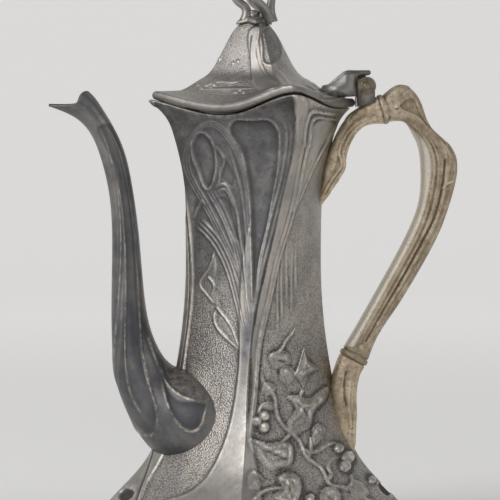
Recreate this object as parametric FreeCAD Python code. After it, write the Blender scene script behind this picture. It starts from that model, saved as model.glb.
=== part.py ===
import FreeCAD, Part
import math
import os

from FreeCAD import Vector

# A four-sided cast coffee pot with a hinged lid, in millimetres with +Z up.
# The origin is on the table under the body's axis.
# The spout points along -X, the handle along +X, and the lid turns about a pin along Y.

# Body: (height, half diagonal, how far the front and back ridges lean towards the handle)
BODY_LEVELS = [
    (0.0, 79.0, -14.5),
    (9.0, 72.0, -13.5),
    (25.0, 57.0, -11.0),
    (47.0, 45.5, -8.5),
    (75.0, 38.6, -6.5),
    (113.0, 34.1, -1.0),
    (145.0, 33.8, 7.0),
    (170.0, 35.4, 13.0),
    (191.0, 40.2, 16.5),
    (203.0, 46.5, 16.0),
    (212.0, 58.0, 14.0),
]
BODY_WALL = 2.0  # measured across the wall at the waist
BODY_BOW = 0.05  # how far a side swells, as a share of its length
CORNER_FACTOR = 1.35  # a corner moves in this many times as far as the sides do
FLOOR_HEIGHT = 22.0
FLOOR_THICKNESS = 2.0
FLOOR_FIT = 0.05

# Wavy rim: (distance along X, height), the same on the front and the back
RIM_LINE = [
    (-80.0, 210.5),
    (-53.0, 208.5),
    (-11.0, 201.5),
    (14.0, 209.5),
    (36.0, 204.5),
    (50.0, 205.0),
    (80.0, 206.0),
]

# Pierced oval in the foot, one under the spout and one under the handle
FOOT_OVAL_LENGTH = 12.0
FOOT_OVAL_WIDTH = 5.0
FOOT_OVAL_X = 68.0
FOOT_OVAL_SLOPE = 40.0  # degrees, of the metal there

# Spout: (point on the outer curve, point on the inner curve, half width, how far its sides swell)
SPOUT_SECTIONS = [
    ((-102.8, 205.5), (-85.0, 213.5), 8.0, 0.2),
    ((-90.5, 200.5), (-79.0, 208.0), 7.5, 0.2),
    ((-77.5, 182.5), (-66.5, 187.5), 7.0, 0.2),
    ((-72.5, 162.0), (-61.0, 166.0), 7.5, 0.2),
    ((-71.0, 138.0), (-57.5, 140.0), 8.5, 0.2),
    ((-71.3, 112.0), (-55.0, 112.0), 10.0, 0.2),
    ((-71.0, 86.0), (-50.5, 91.0), 12.5, 0.2),
    ((-66.0, 59.0), (-41.5, 77.0), 17.0, 0.16),
    ((-52.5, 36.0), (-33.0, 75.0), 24.0, 0.1),
    ((-41.0, 28.0), (-24.0, 73.0), 29.0, 0.06),
    ((-28.0, 24.0), (-10.0, 72.0), 31.5, 0.05),
]
SPOUT_WALL = 1.8
STRAINER_HOLE = 4.0
STRAINER_ROWS = 5
STRAINER_COLUMNS = 4
STRAINER_PITCH = 6.5
STRAINER_LOWEST = 38.0

# Lid: (height, half diagonal as a share of the skirt's) of the dome
LID_DOME = [
    (211.0, 1.0),
    (216.0, 0.892),
    (219.0, 0.743),
    (224.0, 0.568),
    (231.0, 0.446),
    (239.0, 0.324),
    (247.5, 0.184),
]
LID_SIDE_GAP = 2.34  # between the skirt's corners and the body's inner wall, at the foot of the collar
LID_BRIM_GAP = 0.8  # between the brim's rear corner and the hinge's ears
LID_BRIM_THICKNESS = 4.5
LID_WALL = 1.8
LID_CROWN = 3.0  # solid metal left at the top of the dome
LID_GAP = 1.4  # between the closed lid's brim and the body's rim
LID_LEAN = 12.0  # how far the skirt's front and back corners lean towards the handle
BEZEL_THICKNESS = 1.2
BEZEL_FIT = 0.05
BEZEL_DEPTH = 7.0  # how far it hangs below the rim's lowest point

# Finial screwed to the top of the lid
FINIAL_BASE_HALF = 9.0
FINIAL_BASE_HEIGHT = 3.5
FINIAL_STRAP_DEPTH = 3.0
FINIAL_STRAP_HALF = 1.8  # half width of a strap
FINIAL_FOOT_RADIUS = 5.0
FINIAL_HEIGHT = 21.0
FINIAL_BUD_RADIUS = 3.6
FINIAL_BUD_HEIGHT = 5.0
STUD_RADIUS = 1.5
STUD_FIT = 0.1
STUD_REACH = 2.6  # length of thread in the finial
FINIAL_BOSS_TOP = 1.2  # metal above the end of the thread
WASHER_RADIUS = 4.2
WASHER_THICKNESS = 1.0
NUT_ACROSS_CORNERS = 7.0
NUT_THICKNESS = 2.6
STUD_TAIL = 1.0

# Hinge
HINGE_X = 56.0
HINGE_Z = 216.0
HINGE_PIN_RADIUS = 1.5
HINGE_PIN_FIT = 0.05
KNUCKLE_RADIUS = 4.2
KNUCKLE_HALF = 3.0
HINGE_SIDE_GAP = 0.3
EAR_THICKNESS = 3.5
ROSETTE_RADIUS = 4.6
ROSETTE_HEIGHT = 1.8
LEAF_START_X = 34.0
LEAF_HALF = 6.5
LEAF_RISE = 8.0  # top of the thumb tab above the pin
TAB_THICKNESS = 2.6

# Handle: two insulating rings part the grip from its sockets
UPPER_RING = (65.0, 204.5)
UPPER_RING_TILT = 15.0  # degrees above level, of the ring's axis
LOWER_RING = (50.3, 80.3)
LOWER_RING_TILT = 62.0
RING_RADIUS = 7.6
RING_THICKNESS = 4.0
TENON_RADIUS = 3.2
TENON_LENGTH = 8.0
TENON_FIT = 0.1
PIN_RADIUS = 1.1
PIN_PROUD = 0.5
GRIP_NECK = 7.0  # half height of the grip where it meets a ring
GRIP_WIDTH = 12.0
SOCKET_WIDTH = 13.6
GRIP_BOW = 0.2
# (point on the outer curve, point on the inner curve)
GRIP_SECTIONS = [
    ((74.5, 217.0), (76.0, 198.0)),
    ((83.0, 210.5), (79.5, 193.0)),
    ((88.5, 197.0), (82.6, 186.5)),
    ((97.5, 188.0), (84.0, 178.0)),
    ((102.5, 178.5), (84.2, 170.0)),
    ((100.5, 162.5), (83.5, 160.0)),
    ((95.0, 146.0), (80.8, 150.5)),
    ((85.0, 126.5), (73.5, 135.0)),
    ((71.5, 104.5), (61.0, 112.5)),
    ((61.5, 89.0), (51.5, 96.0)),
]
UPPER_SOCKET_INNER = [(56.0, 196.0), (50.0, 191.0), (46.5, 181.0), (44.5, 172.0), (39.0, 163.5)]
UPPER_SOCKET_TIP = (32.0, 154.0)
UPPER_SOCKET_TOP = 205.5
UPPER_SOCKET_RISE = 2.5  # how much its top climbs under the hinge towards the ring
LOWER_SOCKET_OUTER = [(52.0, 68.0), (51.3, 55.0), (51.5, 44.0)]
LOWER_SOCKET_TIP = (50.0, 31.0)
LOWER_SOCKET_TOP = (38.0, 68.0)
SOCKET_ROOT_X = 20.0  # inside the body, where both sockets are trimmed away

WIDE = 120.0  # half width of a cutting block
TALL = 320.0


def point(x, z, y=0.0):
    return Vector(x, y, z)


def four_sided(corners, bow):
    """A closed wire through four corners, each side swelling outwards by a share of its length."""
    middle = (corners[0] + corners[1] + corners[2] + corners[3]) * 0.25
    edges = []
    for first, last in zip(corners, corners[1:] + corners[:1]):
        half_way = (first + last) * 0.5
        outwards = (half_way - middle).normalize()
        edges.append(Part.Arc(first, half_way + outwards * bow * (last - first).Length, last).toShape())
    return Part.Wire(edges)


def level_section(height, half, lean, bow):
    """The body's or the lid's outline at one height, with corners at the spout, front, handle and back."""
    corners = [
        Vector(-half, 0, height),
        Vector(lean, -half, height),
        Vector(half, 0, height),
        Vector(lean, half, height),
    ]
    return four_sided(corners, bow)


def leaning_section(outer, inner, half_width, bow, inset=0.0):
    """A section of the spout or the grip, in the plane of its outer and inner points and the Y direction."""
    middle = (point(*outer) + point(*inner)) * 0.5
    reach = point(*outer) - middle
    reach = reach * (1 - inset / reach.Length)
    side = Vector(0, half_width - inset, 0)
    return four_sided([middle + reach, middle - side, middle - reach, middle + side], bow)


def loft(wires):
    """A smooth solid through closed wires, with its faces turned outwards."""
    solid = Part.makeLoft(wires, True)
    if solid.Volume < 0:
        solid.reverse()
    return solid


def body_loft(inset):
    return loft([level_section(z, half - inset, lean, BODY_BOW) for z, half, lean in BODY_LEVELS])


def body_half_at(height):
    """Half diagonal of the body at a height, along straight lines between its levels."""
    for (z0, half0, lean0), (z1, half1, lean1) in zip(BODY_LEVELS, BODY_LEVELS[1:]):
        if z0 <= height <= z1:
            return half0 + (half1 - half0) * (height - z0) / (z1 - z0)
    return BODY_LEVELS[-1][1]


def foot_height_at(half):
    """Height on the flaring foot where the body has this half diagonal."""
    for (z0, half0, lean0), (z1, half1, lean1) in zip(BODY_LEVELS, BODY_LEVELS[1:]):
        if half1 <= half <= half0:
            return z0 + (z1 - z0) * (half0 - half) / (half0 - half1)
    return BODY_LEVELS[0][0]


def above_rim(lift):
    """Everything above the rim line when it is raised by lift."""
    line = Part.BSplineCurve()
    line.interpolate([point(x, z + lift) for x, z in RIM_LINE])
    left = point(RIM_LINE[0][0], RIM_LINE[0][1] + lift)
    right = point(RIM_LINE[-1][0], RIM_LINE[-1][1] + lift)
    top_right = point(right.x, TALL)
    top_left = point(left.x, TALL)
    edges = [
        line.toShape(),
        Part.makeLine(right, top_right),
        Part.makeLine(top_right, top_left),
        Part.makeLine(top_left, left),
    ]
    face = Part.Face(Part.Wire(edges))
    face.translate(Vector(0, -WIDE, 0))
    return face.extrude(Vector(0, 2 * WIDE, 0))


def outline_plate(edges, half_width):
    """A flat outline in the XZ plane, thickened equally to the front and the back."""
    face = Part.Face(Part.Wire(edges))
    face.translate(Vector(0, -half_width, 0))
    return face.extrude(Vector(0, 2 * half_width, 0))


def polygon_plate(points, half_width):
    corners = [point(x, z) for x, z in points]
    edges = [Part.makeLine(a, b) for a, b in zip(corners, corners[1:] + corners[:1])]
    return outline_plate(edges, half_width)


def curve_through(points):
    line = Part.BSplineCurve()
    line.interpolate([point(x, z) for x, z in points])
    return line.toShape()


def cross_pin(x, z, radius, half_length):
    """A round bar along Y."""
    return Part.makeCylinder(radius, 2 * half_length, Vector(x, -half_length, z), Vector(0, 1, 0))


WALL_INSET = BODY_WALL * CORNER_FACTOR
BODY_SOLID = body_loft(0.0)
BODY_HOLLOW = body_loft(WALL_INSET)
RIM_LOWEST = min(z for x, z in RIM_LINE)


def foot_oval(side):
    """A slot along the foot's slope, square to the metal, on the spout's or the handle's corner."""
    slope = math.radians(FOOT_OVAL_SLOPE)
    square = Vector(side * math.sin(slope), 0, math.cos(slope))
    oval = Part.Ellipse(Vector(0, 0, 0), FOOT_OVAL_LENGTH / 2, FOOT_OVAL_WIDTH / 2)
    face = Part.Face(Part.Wire([oval.toShape()]))
    slot = face.extrude(Vector(0, 0, 8 * BODY_WALL))
    slot.translate(Vector(0, 0, -4 * BODY_WALL))
    slot.rotate(Vector(0, 0, 0), Vector(0, 1, 0), side * FOOT_OVAL_SLOPE)
    surface = foot_height_at(FOOT_OVAL_X)
    slot.translate(Vector(side * FOOT_OVAL_X, 0, surface) - square)
    return slot


def strainer_holes():
    """Drilled through the body's wall behind the spout."""
    holes = []
    for row in range(STRAINER_ROWS):
        height = STRAINER_LOWEST + row * STRAINER_PITCH
        for column in range(STRAINER_COLUMNS):
            across = (column - (STRAINER_COLUMNS - 1) / 2) * STRAINER_PITCH
            start = Vector(-body_half_at(STRAINER_LOWEST) - SPOUT_WALL, across, height)
            length = body_half_at(STRAINER_LOWEST)
            holes.append(Part.makeCylinder(STRAINER_HOLE / 2, length, start, Vector(1, 0, 0)))
    return holes


def body_shell():
    shell = BODY_SOLID.cut(BODY_HOLLOW)
    shell = shell.cut(above_rim(0.0))
    return shell.cut([foot_oval(-1), foot_oval(1)] + strainer_holes())


def body_half(shell, side):
    block = Part.makeBox(2 * WIDE, WIDE, TALL, Vector(-WIDE, -WIDE if side < 0 else 0, -1))
    return shell.common(block)


def base_plate():
    inside = body_loft(WALL_INSET + FLOOR_FIT)
    slab = Part.makeBox(2 * WIDE, 2 * WIDE, FLOOR_THICKNESS, Vector(-WIDE, -WIDE, FLOOR_HEIGHT))
    return inside.common(slab)


def spout_loft(inset):
    return loft([leaning_section(o, i, w, bow, inset) for o, i, w, bow in SPOUT_SECTIONS])


def spout():
    return spout_loft(0.0).cut(spout_loft(SPOUT_WALL)).cut(BODY_SOLID)


LID_FOOT = RIM_LOWEST - BEZEL_DEPTH
LID_SKIRT_HALF = body_half_at(LID_FOOT) - WALL_INSET - LID_SIDE_GAP
LID_BRIM_HALF = HINGE_X - KNUCKLE_RADIUS - LID_BRIM_GAP
LID_WALL_INSET = LID_WALL * CORNER_FACTOR


def lid_section(height, half):
    return level_section(height, half, LID_LEAN * half / LID_SKIRT_HALF, BODY_BOW)


def lid_skirt(inset):
    return loft([lid_section(height, LID_SKIRT_HALF - inset) for height in (LID_FOOT, LID_DOME[0][0])])


def lid_dome(inset):
    """The dome and its straight skirt."""
    dome = loft([lid_section(height, LID_SKIRT_HALF * share - inset) for height, share in LID_DOME])
    return lid_skirt(inset).fuse(dome).removeSplitter()


def lid_outer():
    ceiling = LID_DOME[0][0] + LID_BRIM_THICKNESS
    lean = BODY_LEVELS[-1][2]
    block = loft([level_section(height, LID_BRIM_HALF, lean, BODY_BOW) for height in (LID_FOOT, ceiling)])
    brim = block.common(above_rim(LID_GAP)).cut(above_rim(LID_GAP + LID_BRIM_THICKNESS))
    dome = lid_dome(0.0).common(above_rim(LID_GAP))
    return dome.fuse(brim).removeSplitter()


def lid_hollow():
    above = Part.makeBox(2 * WIDE, 2 * WIDE, TALL, Vector(-WIDE, -WIDE, LID_DOME[-1][0] - LID_CROWN))
    return lid_dome(LID_WALL_INSET).cut(above)


def lid_shell(outer):
    hole = Part.makeCylinder(STUD_RADIUS + STUD_FIT, TALL, Vector(0, 0, RIM_LOWEST))
    return outer.cut(lid_hollow()).cut(hole)


def lid_bezel():
    """The collar inside the lid's skirt, which hangs into the mouth of the body."""
    outer_inset = LID_WALL_INSET + BEZEL_FIT
    return lid_skirt(outer_inset).cut(lid_skirt(outer_inset + BEZEL_THICKNESS))


LID_TOP = LID_DOME[-1][0]
FINIAL_FOOT = LID_TOP + FINIAL_BASE_HEIGHT


def finial_base():
    """A four-pointed cap over the top of the dome, drilled for the stud."""
    wires = [
        level_section(LID_TOP, FINIAL_BASE_HALF, 0, BODY_BOW),
        level_section(FINIAL_FOOT, FINIAL_FOOT_RADIUS + FINIAL_STRAP_HALF, 0, BODY_BOW),
    ]
    hole = Part.makeCylinder(STUD_RADIUS + STUD_FIT, TALL, Vector(0, 0, RIM_LOWEST))
    return loft(wires).cut(hole)


def finial_crown():
    """Two crossed strap hoops with a bud on top, and a boss at their feet that takes the stud's thread."""
    hoop_radius = FINIAL_HEIGHT / 2
    middle = Vector(0, 0, FINIAL_FOOT + hoop_radius)
    crown = Part.makeCylinder(FINIAL_FOOT_RADIUS, STUD_REACH + FINIAL_BOSS_TOP, Vector(0, 0, FINIAL_FOOT))
    for across in (Vector(1, 0, 0), Vector(0, 1, 0)):
        start = middle - across * FINIAL_STRAP_HALF
        disc = Part.makeCylinder(hoop_radius, 2 * FINIAL_STRAP_HALF, start, across)
        window = Part.makeCylinder(hoop_radius - FINIAL_STRAP_DEPTH, 2 * FINIAL_STRAP_HALF, start, across)
        crown = crown.fuse(disc.cut(window))
    bud_foot = FINIAL_FOOT + FINIAL_HEIGHT - FINIAL_BUD_HEIGHT
    bud = Part.makeCylinder(FINIAL_BUD_RADIUS, FINIAL_BUD_HEIGHT, Vector(0, 0, bud_foot))
    thread = Part.makeCylinder(STUD_RADIUS, STUD_REACH, Vector(0, 0, FINIAL_FOOT))
    return crown.fuse(bud).cut(thread).removeSplitter()


CROWN_UNDERSIDE = LID_TOP - LID_CROWN
WASHER_FOOT = CROWN_UNDERSIDE - WASHER_THICKNESS
NUT_FOOT = WASHER_FOOT - NUT_THICKNESS


def finial_stud():
    start = NUT_FOOT - STUD_TAIL
    return Part.makeCylinder(STUD_RADIUS, FINIAL_FOOT + STUD_REACH - start, Vector(0, 0, start))


def finial_washer():
    disc = Part.makeCylinder(WASHER_RADIUS, WASHER_THICKNESS, Vector(0, 0, WASHER_FOOT))
    return disc.cut(Part.makeCylinder(STUD_RADIUS + STUD_FIT, TALL, Vector(0, 0, RIM_LOWEST)))


def finial_nut():
    corners = []
    for k in range(7):
        turn = math.radians(60 * k)
        radius = NUT_ACROSS_CORNERS / 2
        corners.append(Vector(radius * math.cos(turn), radius * math.sin(turn), NUT_FOOT))
    hexagon = Part.Face(Part.makePolygon(corners)).extrude(Vector(0, 0, NUT_THICKNESS))
    return hexagon.cut(Part.makeCylinder(STUD_RADIUS, TALL, Vector(0, 0, RIM_LOWEST)))


EAR_INNER = KNUCKLE_HALF + HINGE_SIDE_GAP
EAR_OUTER = EAR_INNER + EAR_THICKNESS


def hinge_lid_leaf(lid_solid):
    """A leaf on the lid's rear corner, with a thumb tab above and one knuckle between the ears."""
    top = HINGE_Z + LEAF_RISE
    under_tab = top - TAB_THICKNESS
    ear_left = HINGE_X - KNUCKLE_RADIUS - 2 * HINGE_SIDE_GAP
    tab_end = HINGE_X + KNUCKLE_RADIUS / 2
    leaf = polygon_plate(
        [
            (LEAF_START_X, HINGE_Z - LEAF_RISE),
            (LEAF_START_X, HINGE_Z),
            (ear_left - 2 * TAB_THICKNESS, top),
            (tab_end, top),
            (tab_end, under_tab),
            (ear_left, under_tab),
            (ear_left, HINGE_Z - KNUCKLE_RADIUS),
        ],
        LEAF_HALF,
    )
    neck = polygon_plate(
        [
            (ear_left - TAB_THICKNESS, HINGE_Z - KNUCKLE_RADIUS / 2),
            (ear_left - TAB_THICKNESS, under_tab + TAB_THICKNESS / 2),
            (HINGE_X, under_tab + TAB_THICKNESS / 2),
            (HINGE_X, HINGE_Z - KNUCKLE_RADIUS / 2),
        ],
        KNUCKLE_HALF,
    )
    knuckle = cross_pin(HINGE_X, HINGE_Z, KNUCKLE_RADIUS, KNUCKLE_HALF)
    bore = cross_pin(HINGE_X, HINGE_Z, HINGE_PIN_RADIUS + HINGE_PIN_FIT, WIDE)
    return leaf.fuse([neck, knuckle]).cut(lid_solid).cut(bore).removeSplitter()


def hinge_post(socket):
    """Two ears on the upper socket, either side of the lid's knuckle."""
    block = polygon_plate(
        [
            (HINGE_X - KNUCKLE_RADIUS, UPPER_SOCKET_TOP),
            (HINGE_X - KNUCKLE_RADIUS, HINGE_Z),
            (HINGE_X + KNUCKLE_RADIUS, HINGE_Z),
            (HINGE_X + KNUCKLE_RADIUS, UPPER_SOCKET_TOP),
        ],
        EAR_OUTER,
    )
    block = block.fuse(cross_pin(HINGE_X, HINGE_Z, KNUCKLE_RADIUS, EAR_OUTER))
    slot_floor = HINGE_Z - KNUCKLE_RADIUS - 2 * HINGE_SIDE_GAP
    slot = Part.makeBox(WIDE, 2 * EAR_INNER, WIDE, Vector(HINGE_X - WIDE / 2, -EAR_INNER, slot_floor))
    bore = cross_pin(HINGE_X, HINGE_Z, HINGE_PIN_RADIUS, WIDE)
    tenon = tenon_hole(UPPER_RING, UPPER_RING_TILT)
    return block.cut([slot, bore, socket, tenon]).removeSplitter()


def hinge_pin():
    return cross_pin(HINGE_X, HINGE_Z, HINGE_PIN_RADIUS, EAR_OUTER)


def hinge_rosettes():
    """Stepped round caps on both ends of the pin."""
    caps = []
    for side in (-1, 1):
        outwards = Vector(0, side, 0)
        seat = Vector(HINGE_X, side * EAR_OUTER, HINGE_Z)
        cap = Part.makeCylinder(ROSETTE_RADIUS, ROSETTE_HEIGHT / 2, seat, outwards)
        boss = Part.makeCylinder(ROSETTE_RADIUS / 2, ROSETTE_HEIGHT, seat, outwards)
        caps.append(cap.fuse(boss).removeSplitter())
    return Part.makeCompound(caps)


def ring_axis(tilt):
    return Vector(math.cos(math.radians(tilt)), 0, math.sin(math.radians(tilt)))


def ring_across(tilt):
    return Vector(-math.sin(math.radians(tilt)), 0, math.cos(math.radians(tilt)))


def insulator(centre, tilt):
    """A ring with a round tenon on each face, one for the socket and one for the grip."""
    axis = ring_axis(tilt)
    middle = point(*centre)
    disc = Part.makeCylinder(RING_RADIUS, RING_THICKNESS, middle - axis * (RING_THICKNESS / 2), axis)
    reach = RING_THICKNESS / 2 + TENON_LENGTH
    tenon = Part.makeCylinder(TENON_RADIUS, 2 * reach, middle - axis * reach, axis)
    ring = disc.fuse(tenon).removeSplitter()
    return ring.cut(ring_pins(centre, tilt))


def pin_place(centre, tilt, side):
    """Where a pin crosses a tenon: side is 1 in the grip and -1 in the socket."""
    return point(*centre) + ring_axis(tilt) * side * (RING_THICKNESS / 2 + TENON_LENGTH / 2)


def ring_pin(centre, tilt, side):
    place = pin_place(centre, tilt, side)
    width = GRIP_WIDTH if side > 0 else SOCKET_WIDTH
    return cross_pin(place.x, place.z, PIN_RADIUS, width / 2 + PIN_PROUD)


def ring_pins(centre, tilt):
    return [ring_pin(centre, tilt, side) for side in (-1, 1)]


def tenon_hole(centre, tilt):
    axis = ring_axis(tilt)
    reach = RING_THICKNESS / 2 + TENON_LENGTH + TENON_FIT
    return Part.makeCylinder(TENON_RADIUS + TENON_FIT, 2 * reach, point(*centre) - axis * reach, axis)


def ring_face(centre, tilt, side, height):
    """A point on the face of a ring, at a distance across it from its middle."""
    middle = point(*centre) + ring_axis(tilt) * side * RING_THICKNESS / 2
    place = middle + ring_across(tilt) * height
    return (place.x, place.z)


def handle_grip():
    upper = [ring_face(UPPER_RING, UPPER_RING_TILT, 1, height) for height in (GRIP_NECK, -GRIP_NECK)]
    lower = [ring_face(LOWER_RING, LOWER_RING_TILT, 1, height) for height in (-GRIP_NECK, GRIP_NECK)]
    sections = [upper] + GRIP_SECTIONS + [lower]
    wires = [leaning_section(outer, inner, GRIP_WIDTH / 2, GRIP_BOW) for outer, inner in sections]
    grip = loft(wires)
    for centre, tilt in ((UPPER_RING, UPPER_RING_TILT), (LOWER_RING, LOWER_RING_TILT)):
        grip = grip.cut([tenon_hole(centre, tilt)] + ring_pins(centre, tilt))
    return grip


def handle_upper_socket():
    top = ring_face(UPPER_RING, UPPER_RING_TILT, -1, GRIP_NECK)
    bottom = ring_face(UPPER_RING, UPPER_RING_TILT, -1, -GRIP_NECK)
    post_start = (HINGE_X - KNUCKLE_RADIUS, UPPER_SOCKET_TOP)
    post_end = (HINGE_X + KNUCKLE_RADIUS, UPPER_SOCKET_TOP + UPPER_SOCKET_RISE)
    edges = [curve_through([bottom] + UPPER_SOCKET_INNER + [UPPER_SOCKET_TIP])]
    root = [(SOCKET_ROOT_X, UPPER_SOCKET_TIP[1]), (SOCKET_ROOT_X, UPPER_SOCKET_TOP)]
    rest = [UPPER_SOCKET_TIP] + root + [post_start, post_end, top, bottom]
    edges += [Part.makeLine(point(*a), point(*b)) for a, b in zip(rest, rest[1:])]
    socket = outline_plate(edges, SOCKET_WIDTH / 2).cut(BODY_SOLID)
    return socket.cut([tenon_hole(UPPER_RING, UPPER_RING_TILT)] + ring_pins(UPPER_RING, UPPER_RING_TILT))


def handle_lower_socket():
    outer = ring_face(LOWER_RING, LOWER_RING_TILT, -1, -GRIP_NECK)
    inner = ring_face(LOWER_RING, LOWER_RING_TILT, -1, GRIP_NECK)
    edges = [curve_through([outer] + LOWER_SOCKET_OUTER + [LOWER_SOCKET_TIP])]
    root = [(SOCKET_ROOT_X, LOWER_SOCKET_TIP[1]), (SOCKET_ROOT_X, LOWER_SOCKET_TOP[1])]
    rest = [LOWER_SOCKET_TIP] + root + [LOWER_SOCKET_TOP, inner, outer]
    edges += [Part.makeLine(point(*a), point(*b)) for a, b in zip(rest, rest[1:])]
    socket = outline_plate(edges, SOCKET_WIDTH / 2).cut(BODY_SOLID)
    return socket.cut([tenon_hole(LOWER_RING, LOWER_RING_TILT)] + ring_pins(LOWER_RING, LOWER_RING_TILT))


def build():
    shell = body_shell()
    outer = lid_outer()
    upper_socket = handle_upper_socket()
    return {
        "body_front": body_half(shell, -1),
        "body_back": body_half(shell, 1),
        "base_plate": base_plate(),
        "spout": spout(),
        "lid_shell": lid_shell(outer),
        "lid_bezel": lid_bezel(),
        "finial_base": finial_base(),
        "finial_crown": finial_crown(),
        "finial_stud": finial_stud(),
        "finial_washer": finial_washer(),
        "finial_nut": finial_nut(),
        "hinge_lid_leaf": hinge_lid_leaf(outer),
        "hinge_post": hinge_post(upper_socket),
        "hinge_pin": hinge_pin(),
        "hinge_rosettes": hinge_rosettes(),
        "handle_upper_socket": upper_socket,
        "handle_upper_insulator": insulator(UPPER_RING, UPPER_RING_TILT),
        "handle_upper_socket_pin": ring_pin(UPPER_RING, UPPER_RING_TILT, -1),
        "handle_upper_grip_pin": ring_pin(UPPER_RING, UPPER_RING_TILT, 1),
        "handle_grip": handle_grip(),
        "handle_lower_insulator": insulator(LOWER_RING, LOWER_RING_TILT),
        "handle_lower_socket_pin": ring_pin(LOWER_RING, LOWER_RING_TILT, -1),
        "handle_lower_grip_pin": ring_pin(LOWER_RING, LOWER_RING_TILT, 1),
        "handle_lower_socket": handle_lower_socket(),
    }


os.makedirs("parts", exist_ok=True)
for name, shape in build().items():
    shape.exportStep(f"parts/{name}.step")
    box = shape.BoundBox
    print(f"{name}: {len(shape.Solids)} solids, {shape.Volume:.1f} mm3, valid {shape.isValid()}, "
          f"{box.XMin:.1f}..{box.XMax:.1f} {box.YMin:.1f}..{box.YMax:.1f} {box.ZMin:.1f}..{box.ZMax:.1f}")
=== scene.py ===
# %% [markdown]
# # A cast coffee pot
# The CAD model gives the sizes, the joints and the hidden fittings. Here the visible metal gets its cast
# relief and its patina. Everything is in metres, in the frame of the CAD model: +Z up, the spout along -X,
# the handle along +X.

# %% Load the frame
import math

import bmesh
import bpy
import numpy as np
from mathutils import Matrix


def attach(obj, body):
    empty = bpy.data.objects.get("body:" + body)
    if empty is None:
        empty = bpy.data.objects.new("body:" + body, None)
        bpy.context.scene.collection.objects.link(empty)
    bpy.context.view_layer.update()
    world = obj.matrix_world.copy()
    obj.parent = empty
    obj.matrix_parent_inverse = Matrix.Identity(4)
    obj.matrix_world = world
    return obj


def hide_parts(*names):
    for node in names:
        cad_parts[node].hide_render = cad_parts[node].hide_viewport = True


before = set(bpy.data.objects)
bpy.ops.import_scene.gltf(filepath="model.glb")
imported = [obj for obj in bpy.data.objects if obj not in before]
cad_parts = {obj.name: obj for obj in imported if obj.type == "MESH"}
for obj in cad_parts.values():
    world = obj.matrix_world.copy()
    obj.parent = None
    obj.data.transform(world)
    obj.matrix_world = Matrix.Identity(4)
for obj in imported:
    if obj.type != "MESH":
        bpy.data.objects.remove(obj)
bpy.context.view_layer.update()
MM = 0.001

# %% [markdown]
# ## Where the photograph was taken from
# A long lens, a little to the spout's side of square and about as high as the middle of the pot. The camera
# is set first, because the ornament is drawn on a flat sheet that stands square to it.

# %% The camera
VIEW_TURN = math.radians(-6.0)
VIEW_DISTANCE = 1.65
VIEW_HEIGHT = 0.160
PICTURE_WIDTH = 0.250
SHEET = 500.0
AXIS_COLUMN = 254.0
FLOOR_ROW = 518.0
UNIT = PICTURE_WIDTH / SHEET
CAMERA_ROW = FLOOR_ROW - VIEW_HEIGHT / UNIT

camera_data = bpy.data.cameras.new("camera")
camera_data.lens = camera_data.sensor_width * VIEW_DISTANCE / PICTURE_WIDTH
camera_data.shift_x = -(AXIS_COLUMN - SHEET / 2) / SHEET
camera_data.shift_y = (CAMERA_ROW - SHEET / 2) / SHEET
camera = bpy.data.objects.new("camera", camera_data)
bpy.context.scene.collection.objects.link(camera)
camera.location = (VIEW_DISTANCE * math.sin(VIEW_TURN), -VIEW_DISTANCE * math.cos(VIEW_TURN), VIEW_HEIGHT)
camera.rotation_euler = (math.pi / 2, 0.0, VIEW_TURN)
bpy.context.scene.camera = camera
print("lens", round(camera_data.lens), "mm, shift", round(camera_data.shift_x, 3),
      round(camera_data.shift_y, 3))

# %% [markdown]
# ## The drawing sheet
# The cast ornament is drawn like a pattern maker's elevation: a sheet ruled in half millimetres, columns from
# the left and rows from the top. A point of the metal is carried to the sheet by the same perspective as the
# camera's, and the back of the pot uses the mirrored point, so that both sides carry the same ornament.


# %% From the metal to the sheet
def on_sheet(points):
    """Column and row of each point, with the back of the pot folded onto the front."""
    x = points[..., 0]
    y = -np.abs(points[..., 1])
    z = points[..., 2]
    across = x * math.cos(VIEW_TURN) + y * math.sin(VIEW_TURN)
    depth = VIEW_DISTANCE - x * math.sin(VIEW_TURN) + y * math.cos(VIEW_TURN)
    grow = VIEW_DISTANCE / depth / UNIT
    return AXIS_COLUMN + across * grow, CAMERA_ROW - (z - VIEW_HEIGHT) * grow


print("the axis at the foot:", [round(float(v), 1) for v in on_sheet(np.zeros(3))])

# %% [markdown]
# ## Smooth lines through a few points
# A draughtsman bends a thin spline through a few pins. The natural cubic spline is the same curve in numbers,
# and it serves for the profile of the body, for the rails of the spout and handle, and for every stem of the
# ornament.


# %% The spline
def bend_through(at, values, where):
    """A natural cubic spline through values given at rising places."""
    at = np.asarray(at, float)
    values = np.asarray(values, float)
    flat = values.reshape(len(at), -1)
    step = np.diff(at)
    slopes = np.diff(flat, axis=0) / step[:, None]
    system = np.eye(len(at))
    right = np.zeros_like(flat)
    for k in range(1, len(at) - 1):
        system[k, k - 1:k + 2] = step[k - 1], 2 * (step[k - 1] + step[k]), step[k]
        right[k] = 6 * (slopes[k] - slopes[k - 1])
    bend = np.linalg.solve(system, right)
    where = np.asarray(where, float)
    spot = np.clip(np.searchsorted(at, where.ravel()) - 1, 0, len(step) - 1)
    h = step[spot][:, None]
    a = (at[spot + 1] - where.ravel())[:, None] / h
    b = 1 - a
    curve = a * flat[spot] + b * flat[spot + 1]
    curve += ((a ** 3 - a) * bend[spot] + (b ** 3 - b) * bend[spot + 1]) * h ** 2 / 6
    return curve.reshape(where.shape + values.shape[1:])


def lengths_along(points):
    """Length of a line of straight pieces up to each of its points."""
    return np.concatenate([[0.0], np.cumsum(np.linalg.norm(np.diff(points, axis=0), axis=1))])


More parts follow.
